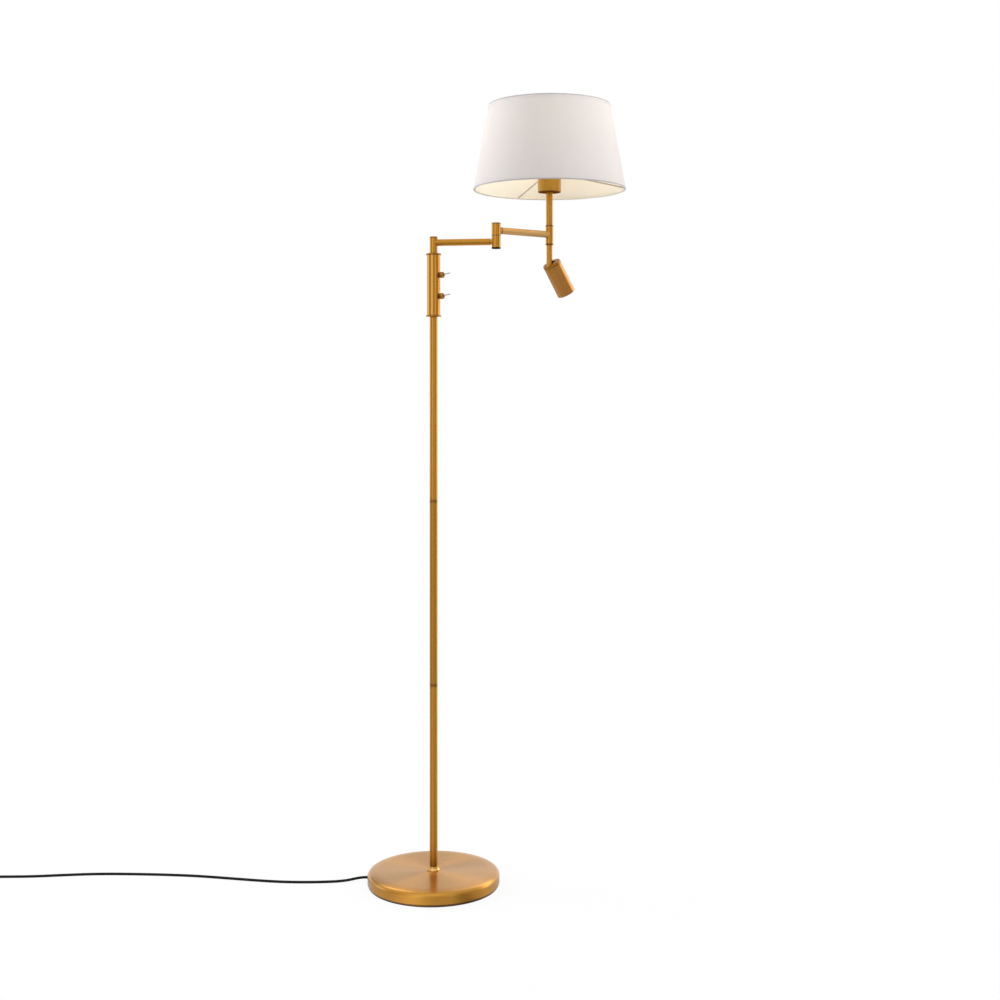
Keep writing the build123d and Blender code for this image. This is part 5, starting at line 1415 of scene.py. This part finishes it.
        side = [(self.cap, level) for level in np.linspace(low + 6 * MM, high - 0.5 * MM, 50)]
        corners = [
            (0, low), (5 * MM, low, 0.5 * MM), (6 * MM, low + 1.5 * MM, 0.4 * MM),
            (12 * MM, low + 4 * MM, 0.8 * MM), *side, (13.0 * MM, high), (0, high),
        ]
        grid = turned(corners, place, wave=rolled)
        make_piece("bulb_screw_cap", [grid], FINISH["alloy"], "upper_arm", "bulb_cap", "bulb_cap")
        data = bpy.data.lights.new("bulb_light", "POINT")
        data.energy, data.color, data.shadow_soft_size = self.glow_power, self.glow_tint, 0.03
        light = bpy.data.objects.new("bulb_light", data)
        light.location = (*place[:2], centre)
        light.visible_glossy = light.visible_camera = light.visible_transmission = False
        bpy.context.scene.collection.objects.link(light)
        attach(light, "upper_arm")


class LAMP_OT_shade(bpy.types.Operator):
    """Tapered fabric drum with turned hems, grey painted shade along its rims and a lapped seam, on its wires
    """

    bl_idname = "lamp.shade"
    bl_label = "Shade"

    seam_azimuth, seam_half, seam_rise, seam_soft = 75, 5.0 * MM, 0.35 * MM, 0.25 * MM
    # heights of the grey bands painted as shade at the bottom and top rims
    rows, tape_low, tape_high = 24, 2.2 * MM, 1.8 * MM

    def execute(self, context):
        """The drum's outline is a line r = bottom + slope (h - low), with the hems standing proud of it."""
        s = sizes()
        place = HUB * PLAN
        low, high = heights("shade_fabric")
        bottom, top = s.shade_bottom / 2, s.shade_top / 2
        slope = (top - bottom) / (high - low)
        hem, rise, wall = s.hem, s.hem_rise, s.shade_wall
        lip, fold, ease = 0.2 * MM, 0.25 * MM, 1 * MM

        def at(h):
            return bottom + slope * (h - low)

        def lap(u, h, r):
            arc = (np.mod(u - radians(self.seam_azimuth) + pi, 2 * pi) - pi) * r
            step = 0.5 - 0.5 * np.tanh((np.abs(arc) - self.seam_half) / self.seam_soft)
            return np.where(r > at(h) - 0.6 * wall, self.seam_rise * step, 0.0)

        levels = np.linspace(low + hem + ease, high - hem - ease, self.rows)
        under, over = low + self.tape_low, high - self.tape_high
        corners = [
            (at(low) + rise - lip, low, 0.5 * MM), (at(under) + rise, under),
            (at(low + hem) + rise, low + hem, 0.2 * MM), (at(low + hem), low + hem + fold),
            *((at(h), h) for h in levels),
            (at(high - hem), high - hem - fold), (at(high - hem) + rise, high - hem, 0.2 * MM),
            (at(over) + rise, over), (at(high) + rise - lip, high, 0.5 * MM),
            (at(high) - wall, high, 0.4 * MM), *((at(h) - wall, h) for h in levels[::-1]),
            (at(low) - wall, low, 0.4 * MM),
        ]
        grid = turned(corners, place, segments=288, wave=lap, steps=4)
        cloths = [FINISH["fabric"], FINISH["lining"], FINISH["trim"]]
        piece = make_piece("shade_drum", [grid], cloths, "upper_arm", "shade_fabric", "shade_fabric")
        self.line_inside(piece.data, place, at, wall, under - SHARP, over + SHARP)
        self.wires(place)
        return {"FINISHED"}

    def line_inside(self, mesh, place, at, wall, foot, rim):
        """Faces whose middle lies nearer to the inner wall than to the outer take the lining, and those below
        the foot's height or above the rim's the grey painted rim shade."""
        centres = face_values(mesh, "center")
        level = centres[:, 2]
        inner = np.hypot(centres[:, 0] - place[0], centres[:, 1] - place[1]) < at(level) - 0.7 * wall
        cloth = np.where(inner, 1, 2 * ((level < foot) | (level > rim)))
        mesh.polygons.foreach_set("material_index", cloth.astype(np.int32))

    def ring(self, place, radius, level, wire, material=0):
        """Torus: (R + r cos t) round the axis, level + r sin t."""
        t = np.linspace(0, 2 * pi, 16, endpoint=False)
        u = np.linspace(0, 2 * pi, 192, endpoint=False)
        r = radius + wire * np.cos(t)[:, None]
        z = np.repeat((level + wire * np.sin(t))[:, None], len(u), 1)
        points = np.stack([r * np.cos(u), r * np.sin(u), z], 2) + place
        return {"points": points, "edge": np.zeros(z.shape), "closed": (True, True), "material": material}

    def wires(self, place):
        """Top wire, and the carrier: its bottom wire, holder ring and three straight spokes."""
        s = sizes()
        wire = s.shade_wire / 2
        low, high = heights("shade_top_ring")
        top = self.ring(place, across("shade_top_ring") / 2 - wire, (low + high) / 2, wire)
        make_piece("shade_upper_wire", [top], FINISH["lining"], "upper_arm", "shade_wire", "shade_top_ring")
        low, high = heights("shade_carrier")
        reach, level = across("shade_carrier") / 2 - wire, low + wire
        ring_outer, ring_inner, ring_thick = 25.05 * MM, 19.56 * MM, 2 * MM
        spoke_root, sink, weld = 23.5 * MM, 0.1 * MM, 0.2 * MM
        grids = [
            self.ring(place, reach, level, wire, 1),
            turned(tube_corners(ring_outer, ring_inner, high - ring_thick, high, 0.4 * MM), place),
        ]
        for turn in (0, 120, 240):
            way = heading(degrees(s.spoke_azimuth) + turn)
            root = place + way * spoke_root + UP * (high - wire - sink)
            tip = place + way * (reach - weld) + UP * level
            span = np.linalg.norm(tip - root)
            rod = [(0, 0), (wire, 0, 0.3 * MM), (wire, span, 0.3 * MM), (0, span)]
            grids.append(turned(rod, root, unit(tip - root), 24))
        pair = [FINISH["wire"], FINISH["lining"]]
        make_piece("shade_spider", grids, pair, "upper_arm", "shade_wire", "shade_carrier")


class LAMP_OT_spot(bpy.types.Operator):
    """Spot stem, slotted cap, tube, front ring and lens"""

    bl_idname = "lamp.spot"
    bl_label = "Spot"

    pivot_depth, pivot_aside = 5 * MM, 8.5 * MM
    stem, stem_bore, stem_end, stem_groove, stem_patina = 5.8 * MM, 3.2 * MM, 4.5 * MM, 4.0 * MM, 0.07
    cap_length, tube_wall = 6 * MM, 1.2 * MM
    front_ring = ((16.7, 58.5, 0.1), (16.7, 64.5, 0.3), (13.5, 64.5, 0.6), (13.5, 58.5, 0.2))

    def execute(self, context):
        s, f = sizes(), finishes()
        tilt = s.spot_tilt
        beam = UPPER_ARM * sin(tilt) - UP * cos(tilt)
        high_side = UPPER_ARM * cos(tilt) + UP * sin(tilt)
        top = PIVOT - beam * self.pivot_depth + high_side * self.pivot_aside
        self.stem_piece()
        radius, end = s.spot / 2, s.spot_length
        tube = [
            (radius, self.cap_length, 0.25 * MM), (radius, end, 0.6 * MM),
            (radius - self.tube_wall, end, 0.5 * MM), (radius - self.tube_wall, self.cap_length, SHARP),
        ]
        grid = turned(tube, top, beam, 128)
        make_piece("spot_tube", [grid], FINISH["spot"], "spot_head", "brushed_brass", "spot_shell")
        grid = turned(in_mm(self.front_ring), top, beam)
        make_piece("spot_front_ring", [grid], FINISH["plastic"], "spot_head", "black_plastic", "spot_bezel")
        main, dark, patina = (*f.brass[:2], 0.08), tuple(f.brass_dark), tuple(f.patina)
        dress(rings_round("brushed_brass_cap", top, beam, main, dark, patina), "spot_cap")
        dress(FINISH["steel"], "spot_pin")
        dress(FINISH["alloy"], "spot_heat_sink")
        dress(FINISH["board"], "spot_led_board")
        dress(FINISH["lens"], "spot_lens")
        return {"FINISHED"}

    def stem_piece(self):
        """Stem with a ball end round the tilt pivot, (r cos t, r sin t), and a groove for its clip."""
        high = heights("spot_stem")[1]
        shoulder, groove = heights("hub")[0] - 0.1 * MM, high - 2 * MM
        ball = [(self.stem * cos(t), PIVOT[2] + self.stem * sin(t)) for t in np.linspace(-0.95, 0, 10)]
        corners = [
            (self.stem_bore, ball[0][1]), *ball, (self.stem, shoulder, 0.3 * MM),
            (self.stem_end, shoulder, SHARP), (self.stem_end, groove, SHARP),
            (self.stem_groove, groove, SHARP), (self.stem_groove, high, 0.2 * MM),
            (self.stem_bore, high, SHARP),
        ]
        grid = turned(corners, HUB * PLAN, tone=self.stem_patina)
        make_piece("spot_stem_rod", [grid], FINISH["brass"], "spot_carrier", "brushed_brass", "spot_stem")


OPERATORS = [
    LAMP_OT_finishes, LAMP_OT_stage, LAMP_OT_cord, LAMP_OT_base, LAMP_OT_pole, LAMP_OT_switch_housing,
    LAMP_OT_swing_arm, LAMP_OT_lamp_holder, LAMP_OT_shade, LAMP_OT_spot,
]


class LAMP_PT_pieces(bpy.types.Panel):
    """Lists the lamp's groups with their sizes and finishes"""

    bl_idname = "LAMP_PT_pieces"
    bl_label = "Floor lamp"
    bl_space_type = "VIEW_3D"
    bl_region_type = "UI"
    bl_category = "Lamp"

    def draw(self, context):
        for operator in OPERATORS:
            self.layout.operator(operator.bl_idname)
        for group in (context.scene.lamp_sizes, context.scene.lamp_finishes):
            box = self.layout.box()
            for name in group.bl_rna.properties.keys():
                if name not in ("rna_type", "name"):
                    box.prop(group, name)


CLASSES = [LampSizes, LampFinishes, *OPERATORS, LAMP_PT_pieces]


def register():
    for kind in CLASSES:
        bpy.utils.register_class(kind)
    bpy.types.Scene.lamp_sizes = PointerProperty(type=LampSizes)
    bpy.types.Scene.lamp_finishes = PointerProperty(type=LampFinishes)


def unregister():
    del bpy.types.Scene.lamp_finishes
    del bpy.types.Scene.lamp_sizes
    for kind in reversed(CLASSES):
        bpy.utils.unregister_class(kind)


def main():
    register()
    for operator in OPERATORS:
        group, name = operator.bl_idname.split(".")
        getattr(getattr(bpy.ops, group), name)()
    bpy.context.view_layer.update()


if __name__ == "__main__":
    main()
